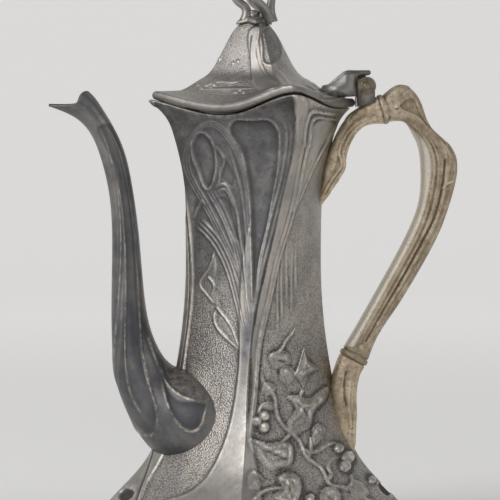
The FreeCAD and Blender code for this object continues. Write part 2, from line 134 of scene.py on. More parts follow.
def smooth_line(points, count=40, closed=False):
    """A bent line through points of the sheet or of space."""
    points = np.asarray(points, float)
    if closed:
        points = np.vstack([points[-2:], points, points[:2]])
    reach = lengths_along(points)
    first, last = (reach[2], reach[-2]) if closed else (0.0, reach[-1])
    return bend_through(reach, points, np.linspace(first, last, count))


print("half way along a bend:", smooth_line([(0, 0), (10, 4), (20, 0)], 3)[1])

# %% [markdown]
# ## Distances on the sheet
# Every tool asks the same two things of a point of the metal: how far is it from a drawn line, and is it
# inside a closed one. A painted height map would answer too, but it would be blurred and it would need an
# image. Numbers stay exact.


# %% Distances
def distance_to(line, x, y):
    """Distance from points to a line of straight pieces, and how far along it the nearest place is."""
    best = np.full(x.shape, 1e9)
    along = np.zeros(x.shape)
    for k, ((ax, ay), (bx, by)) in enumerate(zip(line[:-1], line[1:])):
        ex, ey = bx - ax, by - ay
        t = np.clip(((x - ax) * ex + (y - ay) * ey) / max(ex * ex + ey * ey, 1e-9), 0, 1)
        d = np.hypot(x - ax - t * ex, y - ay - t * ey)
        closer = d < best
        best[closer] = d[closer]
        along[closer] = (k + t[closer]) / (len(line) - 1)
    return best, along


def inside(line, x, y):
    """Which points lie inside a closed line."""
    odd = np.zeros(x.shape, bool)
    for (ax, ay), (bx, by) in zip(line, np.roll(line, -1, axis=0)):
        if ay != by:
            odd ^= ((ay > y) != (by > y)) & (x < (bx - ax) * (y - ay) / (by - ay) + ax)
    return odd


def depth_inside(line, x, y):
    """Distance from a closed line: positive inside it and negative outside."""
    far = distance_to(np.vstack([line, line[:1]]), x, y)[0]
    return np.where(inside(line, x, y), far, -far)


def ease(value):
    """A soft step from 0 to 1."""
    value = np.clip(value, 0, 1)
    return value * value * (3 - 2 * value)


print("half way up a soft step:", ease(0.5))

# %% [markdown]
# ## Raised work
# Casting models are built up in wax: rolled lines, flat pads, leaves and balls. Relief keeps the same small
# set of tools. It holds the height of the wax over a patch of metal, in metres, and how grainy the ground is.
# Lines are joined with a maximum so that crossings don't pile up. Height is real displacement of the mesh, so
# it shows on outlines too.

# %% Tools for raised work
SPREAD = 1.5


class Relief:
    """Wax on a patch of metal, placed on the drawing sheet."""

    def __init__(self, points):
        self.x, self.y = on_sheet(points)
        self.pads = np.zeros(self.x.shape)
        self.lines = np.zeros(self.x.shape)
        self.grain = np.ones(self.x.shape)
        self.dark = np.zeros(self.x.shape)

    def near(self, line, reach):
        """The points in the box around a line. The other points are left alone, which saves time."""
        low, high = np.min(line, axis=0) - reach, np.max(line, axis=0) + reach
        return (self.x > low[0]) & (self.x < high[0]) & (self.y > low[1]) & (self.y < high[1])

    def line(self, points, width, height, ends=(1.0, 1.0), closed=False):
        """A rolled line, whose width can shrink towards either end."""
        line = smooth_line(points, 16 + 5 * len(points), closed)
        pick = self.near(line, SPREAD * width)
        far, along = distance_to(line, self.x[pick], self.y[pick])
        wide = SPREAD * width * (ends[0] + (ends[1] - ends[0]) * along)
        roll = np.clip(1 - (far / wide) ** 2, 0, 1) ** 1.3
        if not closed:
            roll = roll * ease(0.1 + 9 * along) * ease(0.1 + 9 * (1 - along))
        self.lines[pick] = np.maximum(self.lines[pick], height * MM * roll * wide / (SPREAD * width))
        self.grain[pick] *= 1 - ease(1.6 * roll)

    def groove(self, points, width, depth):
        """A cut line, which also collects dirt."""
        line = smooth_line(points, 16 + 5 * len(points))
        pick = self.near(line, width)
        far = distance_to(line, self.x[pick], self.y[pick])[0]
        cut = np.clip(1 - (far / width) ** 2, 0, 1)
        self.pads[pick] -= depth * MM * cut
        self.dark[pick] = np.maximum(self.dark[pick], cut)

    def stems(self, points, gap, count, width, height, ends=(1.0, 1.0)):
        """Several lines side by side."""
        line = smooth_line(points, 30)
        way = np.gradient(line, axis=0)
        side = np.stack([-way[:, 1], way[:, 0]], 1) / np.linalg.norm(way, axis=1)[:, None]
        fade = np.linspace(ends[0], ends[1], len(line))[:, None]
        for k in range(count):
            self.line((line + side * fade * gap * (k - (count - 1) / 2))[::3], width, height, ends)

    def pad(self, points, height, edge=2.0, grain=0.0, dark=0.0):
        """A flat raised or sunken patch with soft edges."""
        line = smooth_line(points, 12 * len(points), True)
        pick = self.near(line, edge)
        x, y = self.x[pick], self.y[pick]
        amount = ease(0.5 + depth_inside(line, x, y) / (2 * edge))
        self.pads[pick] += height * MM * amount
        self.grain[pick] *= 1 - (1 - grain) * amount
        self.dark[pick] = np.maximum(self.dark[pick], dark * amount)

    def leaf(self, points, rib, height):
        """A folded leaf: it swells from its edge and lies higher on one side of its rib."""
        line = smooth_line(points, 6 * len(points), True)
        pick = self.near(line, 1.0)
        x, y = self.x[pick], self.y[pick]
        deep = depth_inside(line, x, y)
        swell = np.where(deep > 0, 1 - np.exp(-deep / 2.4), 0)
        spine = smooth_line(rib, 20)
        near_rib, along = distance_to(spine, x, y)
        way = spine[-1] - spine[0]
        side = ((x - spine[0, 0]) * way[1] - (y - spine[0, 1]) * way[0]) / np.hypot(*way)
        swell = swell * (0.7 + 0.3 * np.tanh(side / 3)) * (1 - 0.3 * np.exp(-(near_rib / 1.4) ** 2))
        veins = 0.85 + 0.15 * np.sin(deep + 4 * along)
        self.lines[pick] = np.maximum(self.lines[pick], height * MM * swell * veins)
        self.grain[pick] *= 1 - np.clip(swell * 0.9, 0, 0.6)

    def berry(self, column, row, radius, height):
        """Half a ball."""
        far = np.hypot(self.x - column, self.y - row) / radius
        ball = np.sqrt(np.clip(1 - far ** 2, 0, 1))
        self.lines = np.maximum(self.lines, height * MM * ball)
        self.grain *= 1 - ease(2 * ball)

    @property
    def height(self):
        return self.pads + self.lines


print("tools:", [name for name in vars(Relief) if not name.startswith("_")])

# %% [markdown]
# ## From a grid of points to a mesh
# Each casting is a grid of points: one direction runs along the piece and the other around it. The relief
# pushes the grid along its own normals. What stands proud of its surroundings gets worn bright and what lies
# deep keeps its patina, so both are measured on the grid and kept with the mesh as attributes for the shader.
# Painted highlights and painted shade are added to the same attributes further on.


# %% Grid meshes
def grid_normals(points, around):
    """Unit normals of a grid of points. around says that the columns close into a loop."""
    if around:
        wide = np.concatenate([points[:, -2:-1], points, points[:, 1:2]], axis=1)
        across = np.gradient(wide, axis=1)[:, 1:-1]
    else:
        across = np.gradient(points, axis=1)
    along = np.gradient(points, axis=0)
    normal = np.cross(across, along)
    return normal / np.maximum(np.linalg.norm(normal, axis=2, keepdims=True), 1e-12)


def blurred(values, size):
    """A box blur on a grid, used twice."""
    width = 2 * size + 1
    for axis in (0, 1, 0, 1):
        count = values.shape[axis]
        padded = np.take(values, np.clip(np.arange(-size, count + size), 0, count - 1), axis)
        total = np.cumsum(np.insert(padded, 0, 0.0, axis=axis), axis=axis)
        high = np.take(total, np.arange(width, count + width), axis)
        values = (high - np.take(total, np.arange(count), axis)) / width
    return values


flat_patch = np.array([[(0, 0, 0), (1, 0, 0)], [(0, 1, 0), (1, 1, 0)]], float)
print("a flat patch faces", grid_normals(flat_patch, False)[0, 0])

# %% [markdown]
# A finished piece is welded where its grid closes, shaded smooth and set on the body that carries it, and the
# nodes of the CAD model that it stands for are hidden. Subdividing a coarse mesh would be shorter, but then
# the fine lines would be lost.


# %% Pieces
def grid_mesh(name, points, close_rows=False):
    """A mesh with a face between each four neighbours of a grid of points."""
    rows, columns = points.shape[:2]
    index = np.arange(rows * columns).reshape(rows, columns)
    if close_rows:
        index = np.vstack([index, index[:1]])
    quads = np.stack([index[:-1, :-1], index[:-1, 1:], index[1:, 1:], index[1:, :-1]], -1).reshape(-1, 4)
    mesh = bpy.data.meshes.new(name)
    mesh.from_pydata(points.reshape(-1, 3), [], quads.tolist())
    return mesh


def finish_piece(name, mesh, body, nodes, metal):
    """Welds and smooths a mesh, sets it on its body, hides the CAD nodes it stands for and gives it its
    metal.
    """
    work = bmesh.new()
    work.from_mesh(mesh)
    bmesh.ops.remove_doubles(work, verts=work.verts, dist=1e-6)
    bmesh.ops.recalc_face_normals(work, faces=work.faces)
    work.to_mesh(mesh)
    work.free()
    mesh.polygons.foreach_set("use_smooth", [True] * len(mesh.polygons))
    piece = bpy.data.objects.new(name, mesh)
    bpy.context.scene.collection.objects.link(piece)
    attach(piece, body)
    if nodes:
        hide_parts(*nodes)
    mesh.materials.append(metal)
    print(name, len(mesh.polygons), "faces")
    return piece


def grid_piece(name, points, body, nodes, metal, marks, close_rows=False):
    """A smooth mesh from a grid of points, standing for CAD nodes and riding on a body."""
    mesh = grid_mesh(name, points, close_rows)
    for mark, values in marks.items():
        layer = mesh.attributes.new(mark, "FLOAT", "POINT")
        layer.data.foreach_set("value", np.asarray(values, np.float32).ravel())
    return finish_piece(name, mesh, body, nodes, metal)


PROUD_GAIN, PROUD_START = 2.6, 0.06
HOLLOW_GAIN, HOLLOW_START = 3.2, 0.04
DIRT_AND_SHADE_IN_DARK = 0.35


def wear_marks(relief, size=3):
    """What the shader needs to know about the raised work."""
    height = relief.height / MM
    proud = height - blurred(height, size)
    return {
        "proud": np.clip(proud * PROUD_GAIN - PROUD_START, 0, 1),
        "hollow": np.clip(-proud * HOLLOW_GAIN - HOLLOW_START + DIRT_AND_SHADE_IN_DARK * relief.dark, 0, 1),
        "grain": np.clip(relief.grain, 0, 1),
        "patina": np.clip(relief.dark, 0, 1),
    }


print("marks:", list(wear_marks(Relief(flat_patch))))

# %% [markdown]
# ## Shader maths
# A metal's colour is sums and mixes of masks. One small class wraps a socket, so that the maths reads like
# maths and each operator adds its own node.


# %% The shader class
class Wire:
    """One output of a material's nodes."""

    def __init__(self, tree, socket):
        self.tree = tree
        self.socket = socket

    def node(self, kind, settings=None, sockets=None, out=0):
        """Any node: its settings first, and then the values or links of its sockets."""
        made = self.tree.nodes.new(kind)
        for key, value in (settings or {}).items():
            setattr(made, key, value)
        for key, value in (sockets or {}).items():
            if isinstance(value, Wire):
                self.tree.links.new(value.socket, made.inputs[key])
            else:
                made.inputs[key].default_value = value
        return Wire(self.tree, made.outputs[out])

    def math(self, operation, first, second):
        return self.node("ShaderNodeMath", {"operation": operation}, {0: first, 1: second})

    def __add__(self, other):
        return self.math("ADD", self, other)

    def __sub__(self, other):
        return self.math("SUBTRACT", self, other)

    def __rsub__(self, other):
        return self.math("SUBTRACT", other, self)

    def __mul__(self, other):
        return self.math("MULTIPLY", self, other)

    __radd__ = __add__
    __rmul__ = __mul__

    def clamped(self):
        return self.node("ShaderNodeClamp", None, {"Value": self}, "Result")

    def ramp(self, low, high):
        """0 below low, 1 above high, smooth between."""
        settings = {"interpolation_type": "SMOOTHSTEP"}
        return self.node("ShaderNodeMapRange", settings, {"Value": self, "From Min": low, "From Max": high},
                         "Result")

    def mix(self, first, second):
        """This mask mixes two colours."""
        settings = {"data_type": "RGBA", "clamp_factor": True}
        return self.node("ShaderNodeMix", settings, {0: self, 6: first, 7: second}, 2)


print("operators ready")

# %% [markdown]
# Each finish starts with the same few wires: the object's own coordinates, a mark that was kept with the
# mesh, and noise. The coordinates are the object's and not the camera's, so the patina stays where it is when
# the pot is turned.


# %% First wires of a finish
def new_metal(name):
    """An empty material: its principled shader, and a wire that holds the object's own coordinates."""
    material = bpy.data.materials.new(name)
    material.use_nodes = True
    tree = material.node_tree
    shader = tree.nodes["Principled BSDF"]
    place = Wire(tree, tree.nodes.new("ShaderNodeTexCoord").outputs["Object"])
    return material, shader, place


def colour(red, green, blue):
    return (red, green, blue, 1.0)


def feed(wire, shader, socket):
    wire.tree.links.new(wire.socket, shader.inputs[socket])


def mark(place, name):
    return place.node("ShaderNodeAttribute", {"attribute_name": name}, None, "Fac")


def noise(place, scale, detail=3.0, rough=0.55):
    return place.node("ShaderNodeTexNoise", None,
                      {"Vector": place, "Scale": scale, "Detail": detail, "Roughness": rough}, "Fac")


print("helpers:", [tool.__name__ for tool in (new_metal, colour, feed, mark, noise)])

# %% [markdown]
# ## Old pewter
# Cast pewter goes blue-grey where nobody touches it and pale, slightly warm where hands and cloths rub it.
# The grain of the sand shows on the ground between the ornament. Three layers do this: a slow noise for the
# blotches of patina, the wear attributes for the edges and hollows, and a cell texture as a bump for the
# grain. The wear attributes also carry painted highlights, which take the pale colour, and painted shade,
# which takes the dark colours.


# %% The pewter finish
def pewter(name, deep, middle, brightened, grain_height, warm=0.5, rough=0.36, grain_scale=1150.0):
    material, shader, place = new_metal(name)
    proud, hollow, grain = mark(place, "proud"), mark(place, "hollow"), mark(place, "grain")
    patina = mark(place, "patina")
    ground = noise(place, 55.0, 4.0).ramp(0.35, 0.68).mix(deep, middle)
    stain = noise(place, 240.0, 4.0).ramp(0.5, 0.72)
    ground = (stain * warm).mix(ground, colour(0.27, 0.225, 0.175))
    untouched = noise(place, 120.0, 4.0).ramp(0.2, 0.6)
    ground = (patina * (untouched * 0.35 + 0.5)).mix(ground, colour(0.068, 0.071, 0.080))
    bluish = noise(place, 330.0, 4.0).ramp(0.5, 0.72)
    ground = (bluish * patina * 0.7).mix(ground, colour(0.062, 0.074, 0.115))
    brownish = noise(place, 260.0, 3.0).ramp(0.58, 0.75)
    ground = (brownish * patina * 0.5).mix(ground, colour(0.15, 0.125, 0.095))
    cells = place.node("ShaderNodeTexVoronoi", {"feature": "F1"}, {"Vector": place, "Scale": grain_scale},
                       "Distance")
    broken = noise(place, 330.0, 4.0).ramp(0.38, 0.68)
    sparkle = (cells.ramp(0.45, 0.12) * grain * 0.42 + proud * broken * (0.85 - patina * 0.45)).clamped()
    # The pale colour: grain, worn metal, and painted highlights where the marks carry them.
    ground = sparkle.mix(ground, brightened)
    # Dark dirt in the hollows and grain, and painted shade where the marks carry it.
    dirt_and_shade = (hollow * 0.75 + cells.ramp(0.4, 0.8) * grain * 0.4).clamped()
    feed(dirt_and_shade.mix(ground, colour(0.07, 0.066, 0.064)), shader, "Base Color")
    shader.inputs["Metallic"].default_value = 0.9
    speck = noise(place, 900.0, 2.0)
    feed((hollow * 0.2 + speck * 0.16 + (rough - 0.08) - proud * 0.08).clamped(), shader, "Roughness")
    lumps = cells * grain * -0.8 + noise(place, 2600.0, 2.0) * 0.2 + speck * 0.25
    bump = place.node("ShaderNodeBump", None,
                      {"Strength": 0.6, "Distance": grain_height, "Height": lumps}, "Normal")
    feed(bump, shader, "Normal")
    return material


BODY_METAL = pewter("pewter_body", colour(0.33, 0.315, 0.30), colour(0.48, 0.445, 0.40),
                    colour(0.84, 0.78, 0.69), 0.00045)
SPOUT_METAL = pewter("pewter_spout", colour(0.112, 0.115, 0.125), colour(0.22, 0.212, 0.208),
                     colour(0.64, 0.57, 0.45), 0.0002, 0.45, 0.42)
LID_METAL = pewter("pewter_lid", colour(0.285, 0.27, 0.26), colour(0.43, 0.40, 0.37),
                   colour(0.78, 0.73, 0.66), 0.0003, grain_scale=1500.0)
print("pewter:", [m.name for m in (BODY_METAL, SPOUT_METAL, LID_METAL)])

# %% [markdown]
# ## Silver-gilt
# The handle is paler: silver with a thin wash of gold, and brown in its hollows. The inside of the grip,
# where the fingers go, is rubbed to silver and also painted lighter, as painted light from the lamp on that
# side.
# Fine scratches run every way. The tones follow the marks of the grid, because noise alone would look like
# paint.


# %% The silver-gilt finish
def silver_gilt(name, tone):
    material, shader, place = new_metal(name)
    proud, hollow, inner = mark(place, "proud"), mark(place, "hollow"), mark(place, "finger_side_worn_and_lit")
    base = noise(place, 90.0, 4.0).ramp(0.35, 0.7).mix(colour(0.38 * tone, 0.305 * tone, 0.215 * tone),
                                                       colour(0.61 * tone, 0.52 * tone, 0.395 * tone))
    stained = noise(place, 420.0, 5.0, 0.7).ramp(0.42, 0.66)
    base = (stained * (1 - inner) * 0.7).mix(base, colour(0.235 * tone, 0.18 * tone, 0.125 * tone))
    # The finger side: rubbed silver, and painted light where the lamp falls on the inner face.
    base = (inner * 0.85).mix(base, colour(0.76, 0.705, 0.62))
    worn = proud * noise(place, 300.0, 4.0).ramp(0.3, 0.65)
    base = (worn * 0.8).mix(base, colour(0.80, 0.68, 0.45))
    pits = noise(place, 800.0, 3.0).ramp(0.6, 0.7)
    brown = (hollow * 0.9 + pits * 0.4).clamped()
    feed(brown.mix(base, colour(0.15, 0.115, 0.075)), shader, "Base Color")
    shader.inputs["Metallic"].default_value = 0.85
    feed((hollow * 0.2 + pits * 0.2 + noise(place, 1300.0) * 0.15 + 0.44).clamped(), shader, "Roughness")
    scratches = noise(place, 1500.0, 4.0)
    feed(place.node("ShaderNodeBump", None, {"Strength": 0.45, "Distance": 0.0003,
                                             "Height": scratches - pits * 0.6},
                    "Normal"), shader, "Normal")
    return material


GILT = silver_gilt("silver_gilt", 1.0)
# The sockets take a lighter copy of the gilt: painted light on the sockets.
SOCKET_GILT_PAINTED_LIGHTER = silver_gilt("socket_gilt_painted_lighter", 1.3)
DULL_GILT = silver_gilt("dull_gilt", 0.5)
print("gilt:", [m.name for m in (GILT, SOCKET_GILT_PAINTED_LIGHTER, DULL_GILT)])

# %% [markdown]
# ## The body
# Two castings soldered along the spout and handle corners. The cross-section is a leaning four-sided figure
# with slightly swollen sides, and its size at each height is the CAD model's. A box with bevels could not
# follow the changing ridge, so the wall is computed point by point.

# %% Body section
BODY_LEVELS = np.array([
    (0, 79, -14.5), (9, 72, -13.5), (25, 57, -11), (47, 45.5, -8.5), (75, 38.6, -6.5), (113, 34.1, -1),
    (145, 33.8, 7), (170, 35.4, 13), (191, 40.2, 16.5), (203, 46.5, 16), (212, 58, 14)], float) * MM
WALL_INSET = 2.7 * MM
BODY_BOW = 0.05


def four_sided(half, lean, turn):
    """Points on the outline. turn is 0 at the spout, 1 at the front, 2 at the handle and 3 at the back."""
    side = np.floor(np.clip(turn, 0, 3.999999)).astype(int)
    t = turn - side
    zero = np.zeros_like(half)
    corners = np.stack([np.stack([-half, zero], -1), np.stack([lean, -half], -1),
                        np.stack([half, zero], -1), np.stack([lean, half], -1)], 0)
    start = np.take_along_axis(corners, side[None, ..., None], 0)[0]
    end = np.take_along_axis(corners, ((side + 1) % 4)[None, ..., None], 0)[0]
    length = np.linalg.norm(end - start, axis=-1, keepdims=True)
    out = (start + end) / 2 - corners.mean(0)
    out = out / np.maximum(np.linalg.norm(out, axis=-1, keepdims=True), 1e-9)
    swell = (4 * t * (1 - t))[..., None]
    return start + (end - start) * t[..., None] + out * swell * BODY_BOW * length


def full_turn(count):
    """Places all around, from the spout corner back to it."""
    turn = np.linspace(0, 4, count)
    turn[-1] = 4 - 1e-6
    return turn


def body_size(height):
    """Half width and lean of the body at each height."""
    return np.moveaxis(bend_through(BODY_LEVELS[:, 0], BODY_LEVELS[:, 1:], height), -1, 0)


def body_point(turn, height, inset=0.0):
    """Points of the body's wall, or of a wall that lies deeper by the inset."""
    half, lean = body_size(height)
    flat = four_sided(half - inset, lean, turn)
    return np.concatenate([flat, height[..., None]], -1)


RIM_LINE = np.array([(-80, 210.5), (-53, 208.5), (-11, 201.5), (14, 209.5), (36, 204.5), (50, 205),
                     (80, 206)]) * MM
RIM_GUESS = 205 * MM


def rim_height(x):
    """Height of the wavy rim over each x."""
    return bend_through(RIM_LINE[:, 0], RIM_LINE[:, 1], x)


def rim_above(turn):
    """Height of the wavy rim over each place around the body."""
    height = np.full(turn.shape, RIM_GUESS)
    for _ in range(12):
        height = rim_height(body_point(turn, height)[..., 0])
    return height


print("rim at the front corner:", round(float(rim_above(np.array([1.0]))[0]), 4))

# %% [markdown]
# ## Ornament of the body
# A smooth band follows each corner. Whiplash stems rise beside the front ridge, loop under the rim and frame
# plain windows, and a bud hangs from them. On the other face a blade-shaped window and plain stems come down
# to a tangle of ivy with berries over a stippled ground. All of it is traditional leaf work, drawn with the
# tools above.


# %% The stem face, left of the front ridge
STEM_SHARE = 0.62


def stem_face(r):
    r.pad([(150, 95), (158, 112), (172, 140), (181, 170), (187, 205), (192, 240), (193, 300), (189, 335),
           (184, 372), (161, 460), (141, 500), (135, 520), (60, 520), (120, 440), (165, 370), (178, 300),
           (178, 200), (150, 130)], 0.7, 1.0)
    r.groove([(170, 130), (180, 165), (186, 205), (189.5, 245), (190, 300), (186, 340), (181, 370)], 0.9, 0.5)
    r.groove([(157, 440), (152, 457), (145, 478), (137, 500), (132, 518)], 1.1, 0.6)
    r.pad([(250, 225), (243, 260), (240, 300), (240, 330), (239, 369), (236, 395), (230, 426), (220, 454),
           (207, 477), (189, 493), (165, 501), (140, 520), (245, 520), (250, 440), (253, 340), (253, 260)],
          0.45, 1.6)
    r.line([(237, 300), (240, 339), (239, 369), (236, 395), (230, 426), (220, 454), (207, 477), (189, 493),
            (160, 503)], 1.3, 0.35)
    window = [(230, 126), (233, 122), (250, 121), (269, 121), (277, 129), (279, 144), (278, 165), (273, 192),
              (268, 219), (262, 244), (257, 271), (254, 300), (253, 270), (252, 230), (249, 184), (245, 162),
              (240, 148)]
    r.pad(window, -0.5, 1.2, 0.0, 1.0)
    r.line(window, 1.5, 0.55, closed=True)
    for reach, lift in ((0.0, 0.65), (4.5, 0.5)):
        r.line([(279 + reach, 116), (285 + reach, 125), (287 + reach, 137), (285 + reach, 157),
                (281 + reach, 181), (275 + reach, 204), (268 + reach, 232), (262 + reach * 0.7, 259),
                (257 + reach * 0.4, 291), (253, 330)], 1.6, lift, (1.0, 0.7))
    outer = [(249, 330), (245, 300), (236, 268), (225, 244), (213, 217), (201, 197), (191.5, 178), (187, 157),
             (185.5, 141), (190, 127), (199.5, 121.5), (210, 125), (225, 137), (236, 150), (242.5, 165),
             (246.5, 184), (250, 211), (251, 237), (252, 264), (251, 300), (250, 330)]
    r.stems(outer, 4.2, 3, 1.5, 0.7, (0.6, 0.6))
    drop = [(199.5, 133), (192, 143), (192, 154), (198, 170), (207.5, 189), (214, 176), (215.5, 160),
            (213, 146), (206, 135.5)]
    r.pad(drop, -0.35, 1.2, 0.0, 0.8)
    r.line(drop, 1.6, 0.7, closed=True)
    r.stems([(208, 188), (220, 208), (229, 228), (236, 248), (242, 277), (246, 305), (249, 330)],
            4.0, 3, 1.4, 0.65, (0.8, 0.5))
    r.line([(214, 146), (221, 153), (224, 160), (220.5, 172), (219, 182), (213, 190)], 1.5, 0.6)
    r.pad([(224, 158), (229, 165), (234, 178), (232, 186), (225, 181), (221, 175)], -0.3, 1.0, 0.0, 0.3)
    for lift in (0.0, 5.0):
        r.line([(209 + lift * 0.8, 192 + lift), (217 + lift * 0.4, 186.5 + lift), (224, 184.5 + lift),
                (230, 192 + lift), (235.5, 204 + lift), (240 - lift * 0.2, 230), (244, 262), (248, 310)],
               1.4, 0.65)
    r.pad([(217, 198), (223, 197), (230, 206), (234, 222), (237, 240), (231, 232), (223, 214)],
          -0.3, 1.0, 0.0, 0.4)
    r.line([(229, 147), (236, 170), (241, 190), (244, 211), (246.5, 244), (248, 290)], 1.4, 0.55)
    r.stems([(197, 222), (210, 234), (221, 250), (230, 271), (237, 297), (243, 322), (248, 340)],
            4.4, 3, 1.5, 0.7, (1.0, 0.5))
    r.line([(193, 219), (197, 209), (202, 201), (206, 207)], 1.5, 0.6)
    bud = [(214, 252), (208, 270), (200, 285), (205, 293), (212, 301), (216, 312), (214, 323), (224, 335),
           (240, 351), (232, 326), (222, 311), (218, 300), (214, 286), (217, 268)]
    r.leaf(bud, [(212, 262), (207, 284), (216, 300), (220, 322), (238, 348)], 0.9)
    for edge in ([(214, 252), (208, 270), (200, 285), (206, 294), (214, 304)],
                 [(215, 306), (222, 314), (230, 325), (239, 349)],
                 [(215, 310), (215, 323), (224, 336), (240, 351)],
                 [(207, 276), (214, 286), (210, 297)]):
        r.line(edge, 1.5, 1.0, (0.9, 0.6))
    # A shallow dent painted dark: painted shade standing for a slot in the foot.
    r.pad([(120, 496), (123, 491), (129, 489.5), (134, 492), (132, 498), (127, 501), (122, 501)],
          -1.2, 0.8, 0.0, 1.0)
    r.lines *= STEM_SHARE


print("stem lines stand at", STEM_SHARE, "of their drawn height")

# %% [markdown]
# The other face is stippled all over. Ivy leaves have three to five points, and each is a short list of
# corners with a sunken rib. Stems are thick and round, and tendrils curl back.


# %% The ivy face, right of the front ridge
def ivy_face(r):
    r.pad([(292, 92), (302, 95), (304, 130), (300, 157), (293, 190), (285, 224), (275, 258), (266, 299),
           (260, 340), (256, 390), (252, 440), (247, 520), (243, 520), (247, 421), (252, 340), (268, 261),
           (281, 204), (292, 160), (295, 120)], 0.35, 1.5)
    for shift, lift in ((0.0, 0.55), (4.0, 0.5)):
        r.line([(307 + shift, 125), (305 + shift, 137), (301 + shift, 157), (295 + shift * 0.9, 190),
                (287 + shift * 0.8, 224), (277 + shift * 0.7, 257), (268 + shift * 0.6, 299),
                (259 + shift * 0.5, 340), (254 + shift * 0.5, 390), (250 + shift * 0.3, 440)], 1.5, lift)
    r.line([(304, 150), (307, 122), (312, 112.5), (324, 113), (340, 115)], 1.5, 0.6)
    r.line([(308, 150), (311, 128), (315, 118.5), (326, 118.5), (338, 120)], 1.3, 0.5)
    r.pad([(315, 124), (319, 121), (334, 124), (325, 141), (315, 160), (303, 188), (292, 212), (296, 190),
           (303, 160), (309, 140)], 0.4, 1.2, 0.25)
    r.line([(338, 121), (328, 140), (317, 160), (304, 189), (295, 210), (286, 234)], 1.8, 0.9, (1.0, 0.3))
    for column, top, foot in ((283, 240, 318), (288, 225, 300), (293, 250, 312), (297, 232, 290),
                              (279, 262, 330)):
        r.line([(column, top), (column - 1.5, (top + foot) / 2), (column - 1, foot)], 1.3, 0.35, (0.3, 1.0))
    r.line([(273, 356), (282, 348), (286, 341), (291, 335), (296, 327)], 1.6, 0.9, (1.0, 0.5))
    leaves = (
        ([(268, 356), (280, 351), (289, 355), (291, 363), (287, 368), (279, 370), (271, 364)],
         [(270, 358), (280, 361), (289, 362)], 1.0),
        ([(279, 372), (285, 366), (293, 371), (294, 379), (286, 385), (280, 380)],
         [(281, 378), (288, 374), (293, 372)], 1.0),
        ([(294, 376), (299, 364), (305, 348), (309, 360), (320, 369), (311, 374), (303, 389), (299, 380)],
         [(294, 376), (306, 368), (318, 369)], 1.0),
        ([(287, 397), (298, 396), (308, 399), (318, 391), (328, 386), (326, 400), (318, 408), (313, 417),
          (310, 428), (303, 432), (295, 437), (287, 433), (289, 418), (295, 408)],
         [(289, 399), (303, 410), (310, 424)], 1.15),
        ([(248, 439), (258, 441), (268, 443), (280, 441), (291, 443), (294, 454), (290, 466), (280, 468),
          (271, 471), (262, 464), (255, 456)], [(250, 440), (268, 452), (288, 460)], 1.05),
        ([(277, 478), (287, 473), (296, 475), (302, 487), (300, 498), (291, 508), (280, 503), (273, 495),
          (280, 488)], [(279, 480), (288, 488), (292, 503)], 1.2),
        ([(251, 470), (258, 474), (264, 480), (276, 480), (268, 486), (258, 489), (249, 489)],
         [(252, 472), (260, 481), (273, 481)], 0.9),
        ([(258, 412), (263, 404), (270, 402), (275, 408), (268, 412)], [(259, 411), (268, 406)], 0.8),
        ([(312, 432), (318, 424), (324, 428), (321, 440), (314, 446)], [(314, 444), (319, 432)], 0.9),
        ([(320, 492), (330, 487), (340, 494), (338, 506), (325, 508)], [(322, 492), (336, 504)], 0.9),
        ([(352, 480), (362, 484), (368, 494), (360, 500), (350, 494)], [(352, 482), (364, 494)], 0.8),
        ([(262, 386), (269, 383), (275, 388), (270, 396), (263, 394)], [(263, 387), (271, 392)], 0.8))
    for outline, rib, height in leaves:
        r.leaf(outline, rib, height * 1.4)
        r.line(outline[:4], 0.8, height, (0.9, 0.3))
    for stem in ([(260, 372), (265, 384), (274, 396), (277, 414), (287, 429), (300, 442), (307, 457),
                  (322, 469), (330, 484), (347, 488), (366, 499), (390, 505)],
                 [(327, 480), (331, 474), (328, 467), (331, 460), (337, 457)],
                 [(308, 458), (311, 448), (310, 436)],
                 [(300, 448), (312, 452), (322, 448), (334, 443), (342, 447)],
                 [(258, 414), (262, 405), (270, 402)],
                 [(253, 500), (262, 492), (275, 488), (290, 488)],
                 [(303, 389), (300, 396), (298, 402)],
                 [(290, 434), (284, 440), (276, 445)],
                 [(345, 490), (352, 482), (350, 474)]):
        r.line(stem, 1.7, 0.65, (1.0, 0.6))
    # A shallow dent painted dark: painted shade standing for a slot in the foot.
    r.pad([(379, 484), (385, 482), (391, 489), (389, 495), (382, 491)], -0.8, 1.0, 0.0, 1.0)
    for column, row, radius in ((264, 416, 5.5), (256.5, 421, 5), (264, 427, 5.5), (339, 448, 5),
                                (348, 457, 6.5), (345, 466, 6), (372, 480, 4), (310, 498, 4.5)):
        r.berry(column, row, radius, 1.3)


print("faces drawn:", [face.__name__ for face in (stem_face, ivy_face)])

# %% [markdown]
# The two faces share the front ridge, so their wax is joined there. Old patina is thickest on the upper body,
# and a painted highlight lies on the band beside the ridge near the foot. These are drawn one by one: an
# occlusion node would darken every hollow alike, and not the places that hands and cloths miss.

# %% Join the two faces
RIDGE_ROWS = [90, 118, 163, 204, 261, 300, 340, 421, 500]
RIDGE_COLUMNS = [292, 296, 291, 281, 268, 259, 252, 247, 242]


